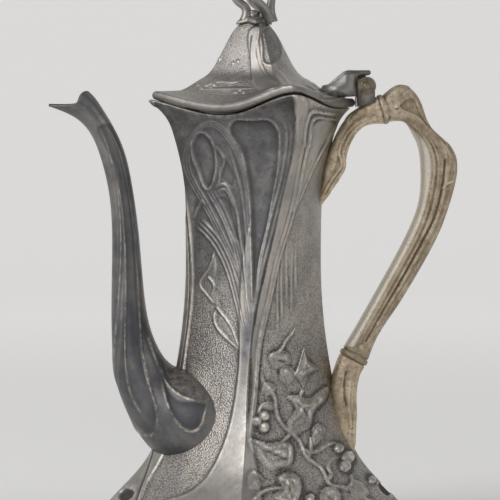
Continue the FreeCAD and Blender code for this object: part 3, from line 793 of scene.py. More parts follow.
def body_relief(outer):
    """The wax of both faces, which part is the ivy face, and where the ridge band gets a painted highlight.
    """
    relief = Relief(outer)
    stem_face(relief)
    ivy = Relief(outer)
    ivy_face(ivy)
    ridge = relief.x - np.interp(relief.y, RIDGE_ROWS, RIDGE_COLUMNS)
    blend = ease(ridge / 3.0 + 0.5)
    for layer in ("pads", "lines", "grain", "dark"):
        setattr(relief, layer, getattr(relief, layer) * (1 - blend) + getattr(ivy, layer) * blend)
    upper = ease((375 - relief.y) / 165)
    relief.grain *= 1 - 0.8 * upper * (1 - blend) - 0.45 * upper * blend
    left_band = np.maximum(ease((relief.x - 190) / 6), ease((230 - relief.y) / 60))
    relief.dark = np.maximum(relief.dark, 0.9 * upper * (1 - blend) * left_band)
    band = np.exp(-(ridge / 14) ** 2) * (ridge < 0)
    relief.dark = np.maximum(relief.dark, band * ease((440 - relief.y) / 110))
    # A painted highlight: a bright band on the left of the ridge, near the foot.
    brightened = np.exp(-(ridge / 9) ** 2) * (ridge < 0) * ease((relief.y - 365) / 60)
    return relief, blend, brightened


print("ridge drawn through", len(RIDGE_ROWS), "places")

# %% [markdown]
# One grid covers a whole half of the body, from the spout corner over the front ridge to the handle corner,
# and then over the rim and down the inside. The grid is finest on the outside. The edges where the halves
# meet stay in the middle plane.

# %% Cast the two halves
AROUND = 121
UP = 372
INSIDE_ROWS = 26
FOOT_FADE = 4 * MM
RIM_FADE = 1.5 * MM
LIP_LIFT = 0.6 * MM
RUBBED_EDGE = 2.2 * MM
INSIDE_MARKS = {"proud": 0.4, "hollow": 0.15, "grain": 0.0, "patina": 0.1}


def body_half(name, node, first_turn):
    """One half of the body, from its first corner over the next one to the third."""
    turn = np.linspace(first_turn, first_turn + 2, 2 * AROUND - 1)
    rim = rim_above(turn)
    height = np.linspace(0, 1, UP)[:, None] * rim[None, :]
    outer = body_point(np.broadcast_to(turn, height.shape), height)
    relief, blend, brightened = body_relief(outer)
    free = ease(height / FOOT_FADE) * ease((rim[None, :] - height) / RIM_FADE)
    pushed = outer + grid_normals(outer, False) * (relief.height * free)[..., None]
    pushed[:, 0, 1] = 0.0
    pushed[:, -1, 1] = 0.0
    lip = body_point(turn, rim, WALL_INSET * 0.5)[None] + np.array([0, 0, LIP_LIFT])
    down = np.linspace(1, 0, INSIDE_ROWS)[:, None] * rim[None, :]
    inner = body_point(np.broadcast_to(turn, down.shape), down, WALL_INSET)
    marks = wear_marks(relief)
    for key in ("proud", "hollow"):
        marks[key] = np.clip(marks[key] * (1 + 0.7 * blend), 0, 1)
    edge = ease((height - rim[None, :] + RUBBED_EDGE) / (1.2 * MM))
    # The rim edge is worn bright, and the band by the ridge gets its painted highlight.
    marks["proud"] = np.maximum(marks["proud"], 0.7 * edge + 0.32 * brightened)
    marks = {key: np.vstack([value, np.full((1 + INSIDE_ROWS, value.shape[1]), INSIDE_MARKS[key])])
             for key, value in marks.items()}
    grid_piece(name, np.vstack([pushed, lip, inner]), "pot", [node], BODY_METAL, marks, True)


body_half("body_casting_front", "body_front", 0.0)
body_half("body_casting_back", "body_back", 2.0)

# %% [markdown]
# ## Tubes between two rails
# The spout, the grip and its two sockets are all drawn the same way: an outer and an inner rail in the middle
# plane of the pot, and a half width. At each place along the rails the section is an oval or a rounded box.
# It is one function, with the squareness of the section as a number.


# %% Rails
def rail_tube(outer, inner, half_width, rows, around, square=2.0):
    """Points of a tube. The first column is on the outer rail, and the columns go round by the front."""
    outer, inner = np.asarray(outer, float) * MM, np.asarray(inner, float) * MM
    middle = (outer + inner) / 2
    reach = lengths_along(middle)
    where = np.linspace(0, reach[-1], rows)
    wide = bend_through(reach, np.asarray(half_width, float) * MM, where)[:, None]
    out = bend_through(reach, outer, where)
    into = bend_through(reach, inner, where)
    angle = np.linspace(0, 2 * math.pi, around)
    c = np.sign(np.cos(angle)) * np.abs(np.cos(angle)) ** (2 / square)
    s = np.sign(np.sin(angle)) * np.abs(np.sin(angle)) ** (2 / square)
    centre = ((out + into) / 2)[:, None, :]
    half = ((out - into) / 2)[:, None, :]
    flat = centre + half * c[None, :, None]
    return np.stack([flat[..., 0], -wide * s[None, :], flat[..., 1]], -1)


def outward(points):
    """Normals of a closed tube, turned away from its middle."""
    normal = grid_normals(points, True)
    away = points - points.mean(1, keepdims=True)
    return normal if (normal * away).sum() > 0 else -normal


def push(points, relief):
    """The points with the wax on them."""
    return points + outward(points) * relief.height[..., None]


print("tube tools:", [tool.__name__ for tool in (rail_tube, outward, push)])

# %% [markdown]
# ## The spout
# A hollow casting, oval in section and spread at its root. Worn lines frame a long tongue down its side and a
# short one at the root. A swept circle would be simpler, but the spout changes its width and its depth
# separately, so it hangs between two rails.

# %% Rails and ornament of the spout
SPOUT_ROWS, SPOUT_COLUMNS = 320, 181
SPOUT_OUTER = [(-102.8, 205.5), (-90.5, 200.5), (-77.5, 182.5), (-72.5, 162), (-71, 138), (-71.3, 112),
               (-71, 86), (-66, 59), (-52.5, 36), (-41, 28), (-28, 24)]
SPOUT_INNER = [(-85, 213.5), (-79, 208), (-66.5, 187.5), (-61, 166), (-57.5, 140), (-55, 112), (-50.5, 91),
               (-41.5, 77), (-33, 75), (-24, 73), (-10, 72)]
SPOUT_HALF = [8, 7.5, 7, 7.5, 8.5, 10, 12.5, 17, 24, 29, 31.5]
ROOT_TOP = [(163, 361), (186, 369), (216, 403), (207, 403), (190, 398), (172, 389)]


def spout_ornament(r):
    tongue = [(100, 125), (113, 160), (121, 200), (125, 240), (125, 280), (122, 330), (119, 370), (121, 395),
              (130, 416), (142, 430), (150, 433), (156, 428), (157, 418), (150, 390), (142, 350), (139, 310),
              (137, 270), (134, 220), (128, 180), (119, 145), (108, 124)]
    r.line([(96, 118), (108, 148), (117, 185), (121, 230), (120, 280), (116, 330), (114.5, 370), (118, 395),
            (127, 416), (138, 431), (148, 436), (156, 431), (158, 420)], 1.05, 0.5)
    r.line([(113, 160), (121, 200), (125, 240), (126, 280), (125, 330), (126, 370), (131, 395), (140, 412),
            (149, 424)], 1.05, 0.5)
    r.line([(108, 124), (119, 150), (128, 185), (134, 225), (137, 270), (139, 310), (142, 350), (150, 388),
            (157, 418), (155, 427), (149, 431), (142, 428)], 1.05, 0.5)
    r.pad(tongue, -0.25, 1.5, 0.0, 0.4)
    root = [(160, 372), (172, 395), (186, 402), (206, 404), (204, 418), (196, 430), (188, 431), (178, 424),
            (168, 405)]
    r.line([(146, 330), (153, 352), (160, 372), (167, 400), (178, 423), (189, 431), (197, 430), (204, 418),
            (207, 404)], 1.1, 0.55)
    r.line([(158, 360), (168, 384), (182, 396), (196, 401), (208, 403)], 1.2, 0.6)
    r.pad(root, -0.3, 1.5, 0.0, 0.7)
    r.grain *= 0.08
    r.pad(ROOT_TOP, 0.15, 2.5, 6.0)


tube = rail_tube(SPOUT_OUTER, SPOUT_INNER, SPOUT_HALF, SPOUT_ROWS, SPOUT_COLUMNS)
spout_relief = Relief(tube)
spout_ornament(spout_relief)
print("highest line on the spout:", round(float(spout_relief.height.max() / MM), 2), "mm")

# %% [markdown]
# The mouth is a beak: the lower lip runs out flat and the upper rim is a small hood. The end of the tube is
# bent to a drawn rim, and then the tube is turned back inwards, so that one looks into real metal.

# %% Cast the spout
BEAK_ROWS = 34.0
BEAK_TOP = 213.5 * MM
INNER_ROWS = 130
SPOUT_WALL = 1.4 * MM


def beak(points):
    """Bends the end of the tube to a flat lower lip and a hooded upper rim."""
    angle = np.linspace(0, 2 * math.pi, points.shape[1])
    rim_angle = np.array([0.0, 0.6, 1.2, 1.8, 2.4, math.pi])
    rim = np.array([(-102.7, 0, 205.6), (-97.5, 3.6, 205.5), (-92, 6.2, 206.0), (-88.2, 6.8, 208.0),
                    (-86.4, 4.8, 211.9), (-83.0, 0, 213.3)]) * MM
    folded = np.where(angle > math.pi, 2 * math.pi - angle, angle)
    mouth = bend_through(rim_angle, rim, folded)
    mouth[:, 1] *= np.where(angle > math.pi, 1, -1)
    mouth[:, 2] = np.minimum(mouth[:, 2], BEAK_TOP)
    weight = ease(1 - np.arange(points.shape[0]) / BEAK_ROWS)[:, None, None]
    return points + (mouth[None] - points[:1]) * weight


outer_tube = beak(push(tube, spout_relief))
inner_tube = beak(tube)
inner_tube = inner_tube - outward(inner_tube) * SPOUT_WALL
spout_marks = wear_marks(spout_relief)
# A painted highlight on the upward face of the spout's root.
far = distance_to(np.array(ROOT_TOP), spout_relief.x, spout_relief.y)[0]
root_top = inside(np.array(ROOT_TOP), spout_relief.x, spout_relief.y) * ease(far / 4)
spout_marks["proud"] = np.maximum(spout_marks["proud"], 0.42 * root_top)
# The bore is painted dark: painted shade inside the tube.
bore = {"hollow": 0.9}
spout_marks = {key: np.vstack([np.full((INNER_ROWS, SPOUT_COLUMNS), bore.get(key, 0.0)), value])
               for key, value in spout_marks.items()}
spout_grid = np.vstack([inner_tube[:INNER_ROWS][::-1], outer_tube])
spout = grid_piece("spout_casting", spout_grid, "pot", ["spout"], SPOUT_METAL, spout_marks)

# %% [markdown]
# The root of the tube reaches through the wall of the body. What would stick into the chamber is trimmed
# away, just inside the body's outer surface. A boolean would cut it exactly, but nobody sees this edge, so
# whole faces are dropped.

# %% Trim the root
def depth_in_body(points):
    """How far a point lies inside the outline of the body, measured from the axis."""
    half, lean = body_size(np.clip(points[:, 2], 0, BODY_LEVELS[-1, 0]))
    spread = np.where(points[:, 0] < lean, half + lean, half - lean)
    length = np.hypot(half, spread)
    t = np.clip(np.abs(points[:, 1]) / half, 0, 1)
    straight = (1 - np.abs(points[:, 0] - lean) / spread - t) * half * spread / length
    return straight + 4 * t * (1 - t) * BODY_BOW * length


def trim(piece, limit):
    """Deletes the faces that lie deeper in the body than the limit."""
    work = bmesh.new()
    work.from_mesh(piece.data)
    deep = depth_in_body(np.array([v.co for v in work.verts]))
    hidden = [f for f in work.faces if all(deep[v.index] > limit for v in f.verts)]
    bmesh.ops.delete(work, geom=hidden, context="FACES")
    work.to_mesh(piece.data)
    work.free()
    print(piece.name, "lost", len(hidden), "faces inside the wall")


trim(spout, 1.2 * MM)

# %% [markdown]
# ## The lid
# A bell-shaped dome stands on a brim whose edge is rolled and waves with the rim of the body. Each ring of
# the grid is the same four-sided outline at a smaller size, and the wave fades out towards the dome.

# %% Lid profile
LID_RINGS = np.array([(6.8, 247.5), (10.2, 243.6), (13.0, 239), (17, 231.2), (21.2, 224), (27.5, 219),
                      (33, 216), (37, 214)]) * MM
LID_EDGE = 51 * MM
BRIM_LEAN = 14 * MM
LID_LEAN = 12 / 37
DOME_FOOT = 37 * MM
BRIM_START = 27 * MM
ROLL = 2.2 * MM
ROLL_ROWS = 17
BRIM_GAP = 1.4 * MM
HINGE_SIDE_DROP = 0.7 * MM
LID_WALL = 2.43 * MM
CROWN_UNDERSIDE = 244.5 * MM


def lid_ring(turn, half, lean, level):
    """One ring of the lid's grid."""
    flat = four_sided(np.full(turn.shape, half), np.full(turn.shape, lean), turn)
    return np.concatenate([flat, np.broadcast_to(level, turn.shape)[:, None]], -1)


def lid_points(turn_count=361, brim_rows=50, dome_rows=130):
    """Rings from the middle of the hollow, out under the brim, round its roll and up over the dome."""
    turn = full_turn(turn_count)
    edge = lid_ring(turn, LID_EDGE - ROLL, BRIM_LEAN, 0.0)
    seat = rim_height(edge[:, 0]) + BRIM_GAP - HINGE_SIDE_DROP * ease(edge[:, 0] / (40 * MM)) + ROLL
    rings = [lid_ring(turn, 0.01 * MM, 0.0, CROWN_UNDERSIDE)]
    for half in np.linspace(4 * MM, DOME_FOOT - LID_WALL, 24):
        level = bend_through(LID_RINGS[:, 0] - LID_WALL, LID_RINGS[:, 1], half)
        rings.append(lid_ring(turn, half, LID_LEAN * half, min(level, CROWN_UNDERSIDE)))
    rings.append(lid_ring(turn, DOME_FOOT - LID_WALL, LID_LEAN * DOME_FOOT, seat - ROLL))
    outwards = edge[:, :2] / np.linalg.norm(edge[:, :2], axis=1, keepdims=True)
    for angle in np.linspace(-math.pi / 2, math.pi / 2, ROLL_ROWS + 1)[:-1]:
        place = edge[:, :2] + outwards * ROLL * math.cos(angle)
        rings.append(np.concatenate([place, (seat + ROLL * math.sin(angle))[:, None]], -1))
    start = len(rings)
    crown_half, crown_level = LID_RINGS[0]
    brim = np.linspace(LID_EDGE - ROLL, 33 * MM, brim_rows)
    for half in np.concatenate([brim, np.linspace(32.6 * MM, crown_half, dome_rows)]):
        out = ease((half - BRIM_START) / (LID_EDGE - ROLL - BRIM_START))
        lean = LID_LEAN * half + (BRIM_LEAN - LID_LEAN * LID_EDGE) * out
        dome = bend_through(LID_RINGS[:, 0], LID_RINGS[:, 1], np.minimum(half, DOME_FOOT))
        rings.append(lid_ring(turn, half, lean, dome * (1 - out) + (seat + ROLL) * out))
    rings.append(lid_ring(turn, 0.01 * MM, 0.0, crown_level))
    return np.stack(rings, 0), start


lid_grid, lid_start = lid_points()
print("lid grid", lid_grid.shape)

# %% [markdown]
# The lid carries a smooth ridge down its front corner, an oval window beside it, stems with small leaves and
# berries near the brim, and long ripples on the lobe by the hinge. All of it is drawn on the same sheet as
# the body's ornament, so that the two line up.

# %% Ornament of the lid
LID_SHARE = 0.5


def lid_ornament(r):
    r.line([(260, 25), (258.5, 48), (261.5, 64), (268, 76), (276, 83), (291, 88)], 2.2, 0.7, (0.6, 0.6))
    r.pad([(252, 28), (259, 26), (257, 48), (260, 64), (267, 77), (277, 85), (262, 90), (252, 80), (249, 52)],
          0.35, 1.5)
    r.groove([(252, 36), (250, 52), (250.5, 66), (251.5, 80)], 0.9, 0.15)
    window = [(263, 29), (270, 26), (276, 33), (282, 49), (281, 58), (273, 64), (265, 63), (262.5, 48)]
    r.pad(window, -0.3, 1.6, 1.0, 0.45)
    r.line(window, 1.1, 0.35, closed=True)
    r.line([(281, 58), (274, 66), (279, 72), (288, 82), (294, 90)], 1.4, 0.5)
    r.leaf([(229, 80), (235, 74), (246, 71.5), (244, 78), (235, 82)], [(231, 80), (245, 73)], 0.8)
    r.line([(205, 85), (214, 82.5), (222, 81), (231, 82), (240, 80)], 1.0, 0.25)
    for column, row in ((198, 84), (202, 87.5), (206, 84.5), (211, 87.5), (214, 84), (231, 88.5),
                        (235.5, 91.5), (240, 89), (244, 92), (233, 63.5), (238, 61.5), (199, 77), (203, 75),
                        (314, 82.5), (308, 80.5), (219, 59)):
        r.berry(column, row, 2.0, 0.55)
    for lift in (0.0, 3.5, 7.0, 10.5):
        r.line([(298 + lift, 89 - lift * 0.7), (308 + lift * 0.6, 95 - lift), (320, 99.5 - lift),
                (333, 100.5 - lift), (343, 98 - lift), (350, 92 - lift * 0.6)], 1.2, 1.5, (0.6, 0.8))


lid_relief = Relief(lid_grid)
lid_ornament(lid_relief)
lid_relief.lines *= LID_SHARE
lid_relief.grain *= 0.8
under, top_edge = lid_start - 12, lid_start - 5
lid_relief.pads[:under] = 0.0
lid_relief.lines[:under] = 0.0
lid_relief.grain[:lid_start] = 0.0
lid_marks = wear_marks(lid_relief)
# Painted shade under the lid and on the lower, outer face of the rolled brim; a painted highlight on its top.
for key, rows, least in (("hollow", slice(2, under), 0.55), ("hollow", slice(under, top_edge), 0.5),
                         ("proud", slice(top_edge, lid_start), 0.25)):
    lid_marks[key][rows] = np.maximum(lid_marks[key][rows], least)
grid_piece("lid_casting", push(lid_grid, lid_relief), "lid", ["lid_shell"], LID_METAL, lid_marks)

# %% [markdown]
# ## Bent straps
# A strap is a tube with an oval section that follows a bent line. A bevelled curve object would do it too,
# but its width and thickness would shrink together. Here they are separate, and one fixed direction keeps the
# strap from twisting.


# %% Tools for straps
def strap_points(line, wide, thick, flat_side, along=70, around=25):
    """Points of a tube along a bent line. flat_side is the direction of its wide axis."""
    path = smooth_line(np.asarray(line, float) * MM, along)
    way = np.gradient(path, axis=0)
    way /= np.linalg.norm(way, axis=1, keepdims=True)
    broad = np.asarray(flat_side, float) - way * (way @ np.asarray(flat_side, float))[:, None]
    broad /= np.linalg.norm(broad, axis=1, keepdims=True)
    thin = np.cross(way, broad)
    share = np.linspace(0, 1, along)
    broad = broad * np.interp(share, np.linspace(0, 1, len(wide)), wide)[:, None] * MM
    thin = thin * np.interp(share, np.linspace(0, 1, len(thick)), thick)[:, None] * MM
    angle = np.linspace(0, 2 * math.pi, around)[None, :, None]
    return path[:, None] + broad[:, None] * np.cos(angle) + thin[:, None] * np.sin(angle)


def joined(name, grids, body, nodes, slot, metal):
    """Several grids of points in one piece."""
    work = bmesh.new()
    for points in grids:
        rows = [[work.verts.new(p) for p in row] for row in points]
        for upper, lower in zip(rows[:-1], rows[1:]):
            for k in range(len(upper) - 1):
                work.faces.new((upper[k], upper[k + 1], lower[k + 1], lower[k]))
    mesh = bpy.data.meshes.new(name)
    work.to_mesh(mesh)
    work.free()
    finish_piece(name, mesh, body, nodes, metal)


def knob(profile, rows=24, around=33):
    """A round knob from half widths and heights."""
    halves = [half for half, level in profile]
    return rail_tube(profile, [(-half, level) for half, level in profile], halves, rows, around)


print("strap tools:", [tool.__name__ for tool in (strap_points, joined, knob)])

# %% [markdown]
# ## The finial
# Openwork: four straps rise from a saddle on top of the dome, bow outwards and meet in a bud. A small boss
# stands between their feet. The two straps at the front and back are one line and its mirror image.

# %% Finial
FINIAL_METAL = pewter("pewter_finial", colour(0.25, 0.243, 0.235),
                      colour(0.38, 0.36, 0.335), colour(0.62, 0.57, 0.49), 0.0003)
FRONT_STRAP = [(7.6, -1.5, 249), (6.0, -3.5, 252.5), (3.0, -6.5, 256), (-0.8, -8.6, 260), (-1.2, -7.8, 265.5),
               (-0.5, -3, 269.6), (0, 0, 270)]
STRAPS = (
    ([(-4.5, 0, 248.5), (-3.6, 0, 252), (-4.6, 0, 255.5), (-8.2, 0, 258.3), (-10, 0, 262), (-7.6, 0, 267.2),
      (-2.5, 0, 269.8), (0.5, 0, 270.2)], (0, 1, 0)),
    ([(9.2, 0, 248), (8.6, 0, 251), (8.4, 0, 256), (9.0, 0, 260.5), (7.6, 0, 266.5), (3, 0, 269.8),
      (-0.5, 0, 270.2)], (0, 1, 0)),
    (FRONT_STRAP, (1, 0, 0)),
    ([(x, -y, z) for x, y, z in FRONT_STRAP], (1, 0, 0)))
BROAD = (3.3, 2.4, 2.2, 2.1, 1.8, 1.3)
THICK = (2.9, 2.3, 2.0, 1.9, 1.6, 1.2)
straps = [strap_points(line, BROAD, THICK, side) for line, side in STRAPS]
bud = knob([(3.4, 266.5), (3.9, 268.3), (2.6, 270.6), (0.1, 271.7)])
boss = knob([(3.6, 250.4), (3.0, 252.2), (2.2, 253.7), (0.1, 254.2)])
joined("finial_straps", straps + [bud, boss], "lid", ["finial_crown"], "pewter", FINIAL_METAL)

# %% [markdown]
# The saddle under the straps is a small four-pointed plate that droops over the top of the dome like a leaf.
# A bent flat plate would do too, but a stack of rings gives the droop and the rounded edge at once.

# %% Saddle
SADDLE_RINGS = [(0.01, 250.9), (3.0, 250.8), (5.5, 250.3), (7.4, 249.3), (8.7, 248.0), (9.0, 247.3),
                (8.8, 246.6), (8.0, 246.9), (6.0, 248.0), (0.01, 248.5)]
SADDLE_COLUMNS = 97
SADDLE_HALF = 9.0
SADDLE_WAIST = 0.22
SADDLE_DROOP = 1.2


def saddle_points():
    """Rings from the top of the saddle, over its edge and back under it."""
    turn = full_turn(SADDLE_COLUMNS)
    rings = []
    for half, level in SADDLE_RINGS:
        flat = four_sided(np.full(turn.shape, half * MM), np.zeros(turn.shape), turn)
        side = np.abs((turn + 0.5) % 1 - 0.5) * 2 * (half / SADDLE_HALF) ** 2
        flat = flat * (1 - SADDLE_WAIST * side)[:, None]
        rings.append(np.concatenate([flat, ((level + side * SADDLE_DROOP) * MM)[:, None]], -1))
    return np.stack(rings, 0)


joined("finial_saddle", [saddle_points()], "lid", ["finial_base"], "pewter", FINIAL_METAL)

# %% [markdown]
# ## Filed plates
# The hinge is sawn and filed from plate. A plate is an outline in the middle plane that is pushed through to
# a thickness, and a small bevel takes off the sharp edges. A bevel modifier would look the same, but here the
# mesh is final at once.

# %% A plate
BEVEL_STEPS = 3


def plate(name, outlines, body, nodes, metal, bevel, taper=None):
    """Outlines in the middle plane, each with the two Y values that it is pushed between."""
    work = bmesh.new()
    for outline, low, high in outlines:
        near = [work.verts.new((x * MM, low * MM, z * MM)) for x, z in outline]
        far = [work.verts.new((x * MM, high * MM, z * MM)) for x, z in outline]
        work.faces.new(near)
        work.faces.new(far[::-1])
        for k in range(len(outline)):
            n = (k + 1) % len(outline)
            work.faces.new((near[n], near[k], far[k], far[n]))
    bmesh.ops.recalc_face_normals(work, faces=work.faces)
    if taper:
        for v in work.verts:
            v.co.y *= taper(v.co.x / MM)
    bmesh.ops.bevel(work, geom=list(work.edges), offset=bevel * MM, segments=BEVEL_STEPS, affect="EDGES",
                    clamp_overlap=True)
    mesh = bpy.data.meshes.new(name)
    work.to_mesh(mesh)
    work.free()
    finish_piece(name, mesh, body, nodes, metal)


print("plates are bevelled in", BEVEL_STEPS, "steps")

# %% [markdown]
# ## The hinge
# A leaf with a thumb tab and a knuckle rides on the lid, and two ears stand on the handle's socket, one on
# each side of the knuckle. Leaf and knuckle ride on the lid's body, so they turn about the same axis as the
# joint.

# %% Hinge plates
HINGE_X, HINGE_Z, KNUCKLE = 56.0, 216.0, 4.2


def hinge_arc(angles):
    """Places around the pin, as wide as the knuckle."""
    return [(HINGE_X + KNUCKLE * math.cos(a), HINGE_Z + KNUCKLE * math.sin(a)) for a in angles]


ear = [(51.8, 206)] + hinge_arc(np.linspace(math.pi, 0, 17)) + [(60.2, 208)]
foot = [(51.8, 205.6), (51.8, 211), (60.2, 211), (60.2, 208)]
plate("hinge_ears", [(ear, -6.8, -3.3), (ear, 3.3, 6.8), (foot, -6.7, 6.7)], "pot", ["hinge_post"],
      FINIAL_METAL, 0.35)
leaf_side = [(34, 210), (34, 216.2), (38, 217.4), (43, 221.4), (46, 223.9), (58.1, 223.9), (58.1, 221.5),
             (51.2, 221.5), (51.2, 211)]
plate("hinge_leaf", [(leaf_side, -6.5, 6.5)], "lid", ["hinge_lid_leaf"], FINIAL_METAL, 0.5,
      lambda x: 0.45 + 0.55 * float(ease((x - 34) / 12)))
knuckle = hinge_arc(np.linspace(0, 2 * math.pi, 33)[:-1])
web = [(48, 213), (48, 222), (56, 222), (56, 213)]
plate("hinge_knuckle", [(knuckle, -3, 3), (web, -2.9, 2.9)], "lid", [], FINIAL_METAL, 0.2)

# %% [markdown]
# Rosettes and rings are turned on a lathe, so each is a profile spun about an axis. A screw modifier does the
# same, but here the axis can lean with the handle.

# %% Turned pieces
def turned(profile, centre, axis, around=65):
    """Points of a turned piece. The profile is radius and distance along the axis."""
    axis = np.asarray(axis, float) / np.linalg.norm(axis)
    side = np.cross(axis, (0, 0, 1.0) if abs(axis[2]) < 0.9 else (1.0, 0, 0))
    side /= np.linalg.norm(side)
    other = np.cross(axis, side)
    angle = np.linspace(0, 2 * math.pi, around)[None, :, None]
    radius, along = np.asarray(profile, float).T[:, :, None, None] * MM
    return np.asarray(centre) * MM + axis * along + radius * (side * np.cos(angle) + other * np.sin(angle))


ROSETTE = [(4.2, -0.2), (4.6, 0.1), (4.6, 0.6), (4.3, 0.9), (3.8, 0.95), (3.5, 0.75), (3.3, 0.8), (3.1, 1.25),
           (2.7, 1.45), (2.3, 1.3), (2.1, 1.05), (1.9, 1.1), (1.7, 1.6), (1.1, 1.78), (0.5, 1.8), (0.01, 1.8)]
caps = [turned(ROSETTE, (HINGE_X, side * 6.8, HINGE_Z), (0, side, 0)) for side in (-1, 1)]
joined("hinge_caps", caps, "pot", ["hinge_rosettes"], "hinge_metal", DULL_GILT)
RING = [(0.01, -2.0), (6.3, -2.0), (6.5, -1.7), (6.6, -1.4), (7.2, -1.25), (7.5, -0.7), (7.6, 0.0),
        (7.5, 0.7), (7.2, 1.25), (6.6, 1.4), (6.5, 1.7), (6.3, 2.0), (0.01, 2.0)]
UPPER_RING, UPPER_TILT = (65.0, 0, 204.5), math.radians(15)
LOWER_RING, LOWER_TILT = (50.3, 0, 80.3), math.radians(62)
for name, centre, tilt in (("upper", UPPER_RING, UPPER_TILT), ("lower", LOWER_RING, LOWER_TILT)):
    joined(f"handle_{name}_ring", [turned(RING, centre, (math.cos(tilt), 0, math.sin(tilt)))], "pot",
           [f"handle_{name}_insulator"], "insulator", GILT)

# %% [markdown]
# ## The handle
# The grip swells at the thumb rest and thins towards the lower ring. Its sides carry a raised border along
# each edge and a sunken channel between, and the inner side is smooth for the fingers. The two sockets spread
# onto the body like leaves. The rails end on the rings' faces, so the joints stay closed.

# %% Rails and ornament of the grip
def ring_face(centre, tilt, side, height):
    """Where a ring's face meets the metal, at a height across it."""
    return (centre[0] + 2 * side * math.cos(tilt) - height * math.sin(tilt),
            centre[2] + 2 * side * math.sin(tilt) + height * math.cos(tilt))


GRIP_OUTER = [ring_face(UPPER_RING, UPPER_TILT, 1, 7), (74.5, 217), (83, 210.5), (88.5, 197), (97.5, 188),
              (102.5, 178.5), (100.5, 162.5), (95, 146), (85, 126.5), (71.5, 104.5), (61.5, 89),
              ring_face(LOWER_RING, LOWER_TILT, 1, -7)]
GRIP_INNER = [ring_face(UPPER_RING, UPPER_TILT, 1, -7), (76, 198), (79.5, 193), (82.6, 186.5), (84, 178),
              (84.2, 170), (83.5, 160), (80.8, 150.5), (73.5, 135), (61, 112.5), (51.5, 96),
              ring_face(LOWER_RING, LOWER_TILT, 1, 7)]
FINGER_EDGE = [(392, 116), (404, 120), (419, 131), (430, 146), (434, 160), (433.5, 180), (428, 208),
               (421, 228), (407, 256), (391, 285), (371, 321), (357, 347)]
FINGER_SIDE_WORN_AND_LIT = FINGER_EDGE + [(330, 345), (350, 300), (380, 250), (405, 190), (400, 150), (385, 130)]
CHANNEL = [(445, 160), (444, 175), (442, 188), (434.5, 217), (420, 246), (400, 282), (379, 317), (366, 341)]


def grip_ornament(r):
    r.pad(FINGER_EDGE[2:] + CHANNEL[::-1], -0.08, 1.6, 0.0, 0.7)
    r.line(FINGER_EDGE, 1.2, 0.35)
    r.line([(x + 4.5, y + 1.5) for x, y in FINGER_EDGE[1:]], 0.9, 0.3)
    r.groove(CHANNEL, 1.6, 0.5)
    r.line([(x + 3, y + 1) for x, y in CHANNEL], 0.9, 0.4)
    r.line([(424, 121), (437, 137), (451, 147), (455.5, 158), (452, 184), (440.5, 223), (424, 256),
            (400, 294), (378, 328), (366, 346)], 1.0, 0.3)
    r.line([(429, 126), (440, 141), (448, 150), (450, 160), (447, 180)], 0.9, 0.3)
    window = [(399, 106), (404, 100), (413, 97.5), (418, 106), (426, 121), (430, 128), (420, 119), (409, 113)]
    r.pad(window, -0.35, 1.0, 0.0, 0.5)
    r.line(window, 0.9, 0.3, closed=True)
    for lift in range(4):
        r.line([(388 + lift * 3, 97 - lift * 0.6), (397 + lift * 3.2, 90 - lift), (405 + lift * 3.2, 86)],
               1.2, 0.4)
    r.line([(442, 189), (447, 184), (454, 181)], 1.0, 0.6)
    r.pad([(395, 105), (399, 105), (399, 109), (395, 109)], -0.2, 0.8, 0.0, 0.9)


print("grip rails:", len(GRIP_OUTER), "and", len(GRIP_INNER), "places")

# %% [markdown]
# Grip and sockets are cast in the same way: a tube between two rails, wax on it, and a flat end where it
# meets the ring or the body. The finger side is marked, because it is rubbed to silver and also painted
# lighter as painted light.


# %% Cast the grip
def handle_piece(name, node, outer, inner, half_width, ornament, square, metal, rows=420, around=161):
    """Casts one piece of the handle, closed at both ends."""
    points = rail_tube(outer, inner, half_width, rows, around, square)
    relief = Relief(points)
    ornament(relief)
    shaped = push(points, relief)
    marks = wear_marks(relief)
    # The finger side: rubbed silver, and painted light on the inner face.
    far = distance_to(np.array(FINGER_EDGE), relief.x, relief.y)[0]
    within = np.where(inside(np.array(FINGER_SIDE_WORN_AND_LIT), relief.x, relief.y), far, -far)
    marks["finger_side_worn_and_lit"] = ease(0.5 + (within - 3) / 4)
    ends = [np.broadcast_to(shaped[k].mean(0), (1,) + shaped[k].shape) for k in (0, -1)]
    shaped = np.vstack([ends[0], shaped, ends[1]])
    marks = {key: np.vstack([value[:1], value, value[-1:]]) for key, value in marks.items()}
    grid_piece(name, shaped, "pot", [node], metal, marks)


GRIP_HALF = [5.6] + [6] * 10 + [5.6]
handle_piece("handle_grip_casting", "handle_grip", GRIP_OUTER, GRIP_INNER, GRIP_HALF, grip_ornament, 2.3,
             GILT)

# %% [markdown]
# The sockets are flatter, with a double raised border along the finger side. They use the grip's function
# with a squarer section, so that the three castings match.

# %% Sockets
def upper_ornament(r):
    border = [(380, 119), (366, 122), (354, 130.5), (346, 143), (343, 156), (345, 166), (339, 176),
              (331, 188), (325, 201)]
    r.line(border, 1.3, 0.5)
    r.line([(x - 3.6, y - 1.6) for x, y in border], 1.2, 0.45)
    r.line([(372, 101), (362, 105), (352, 112), (346, 124)], 1.3, 0.5)
    r.pad([(368, 108), (356, 116), (346, 130), (339, 150), (334, 172), (344, 150), (352, 128), (366, 116)],
          -0.2, 1.5, 1.0, 0.1)


def lower_ornament(r):
    r.line([(360, 366), (357, 381), (356, 407), (354, 430), (355, 450)], 1.4, 0.5)
    r.line([(352, 372), (349, 390), (349, 410), (352, 430)], 1.2, 0.4)
    r.groove([(346, 372), (344, 388), (346, 405)], 1.4, 0.4)


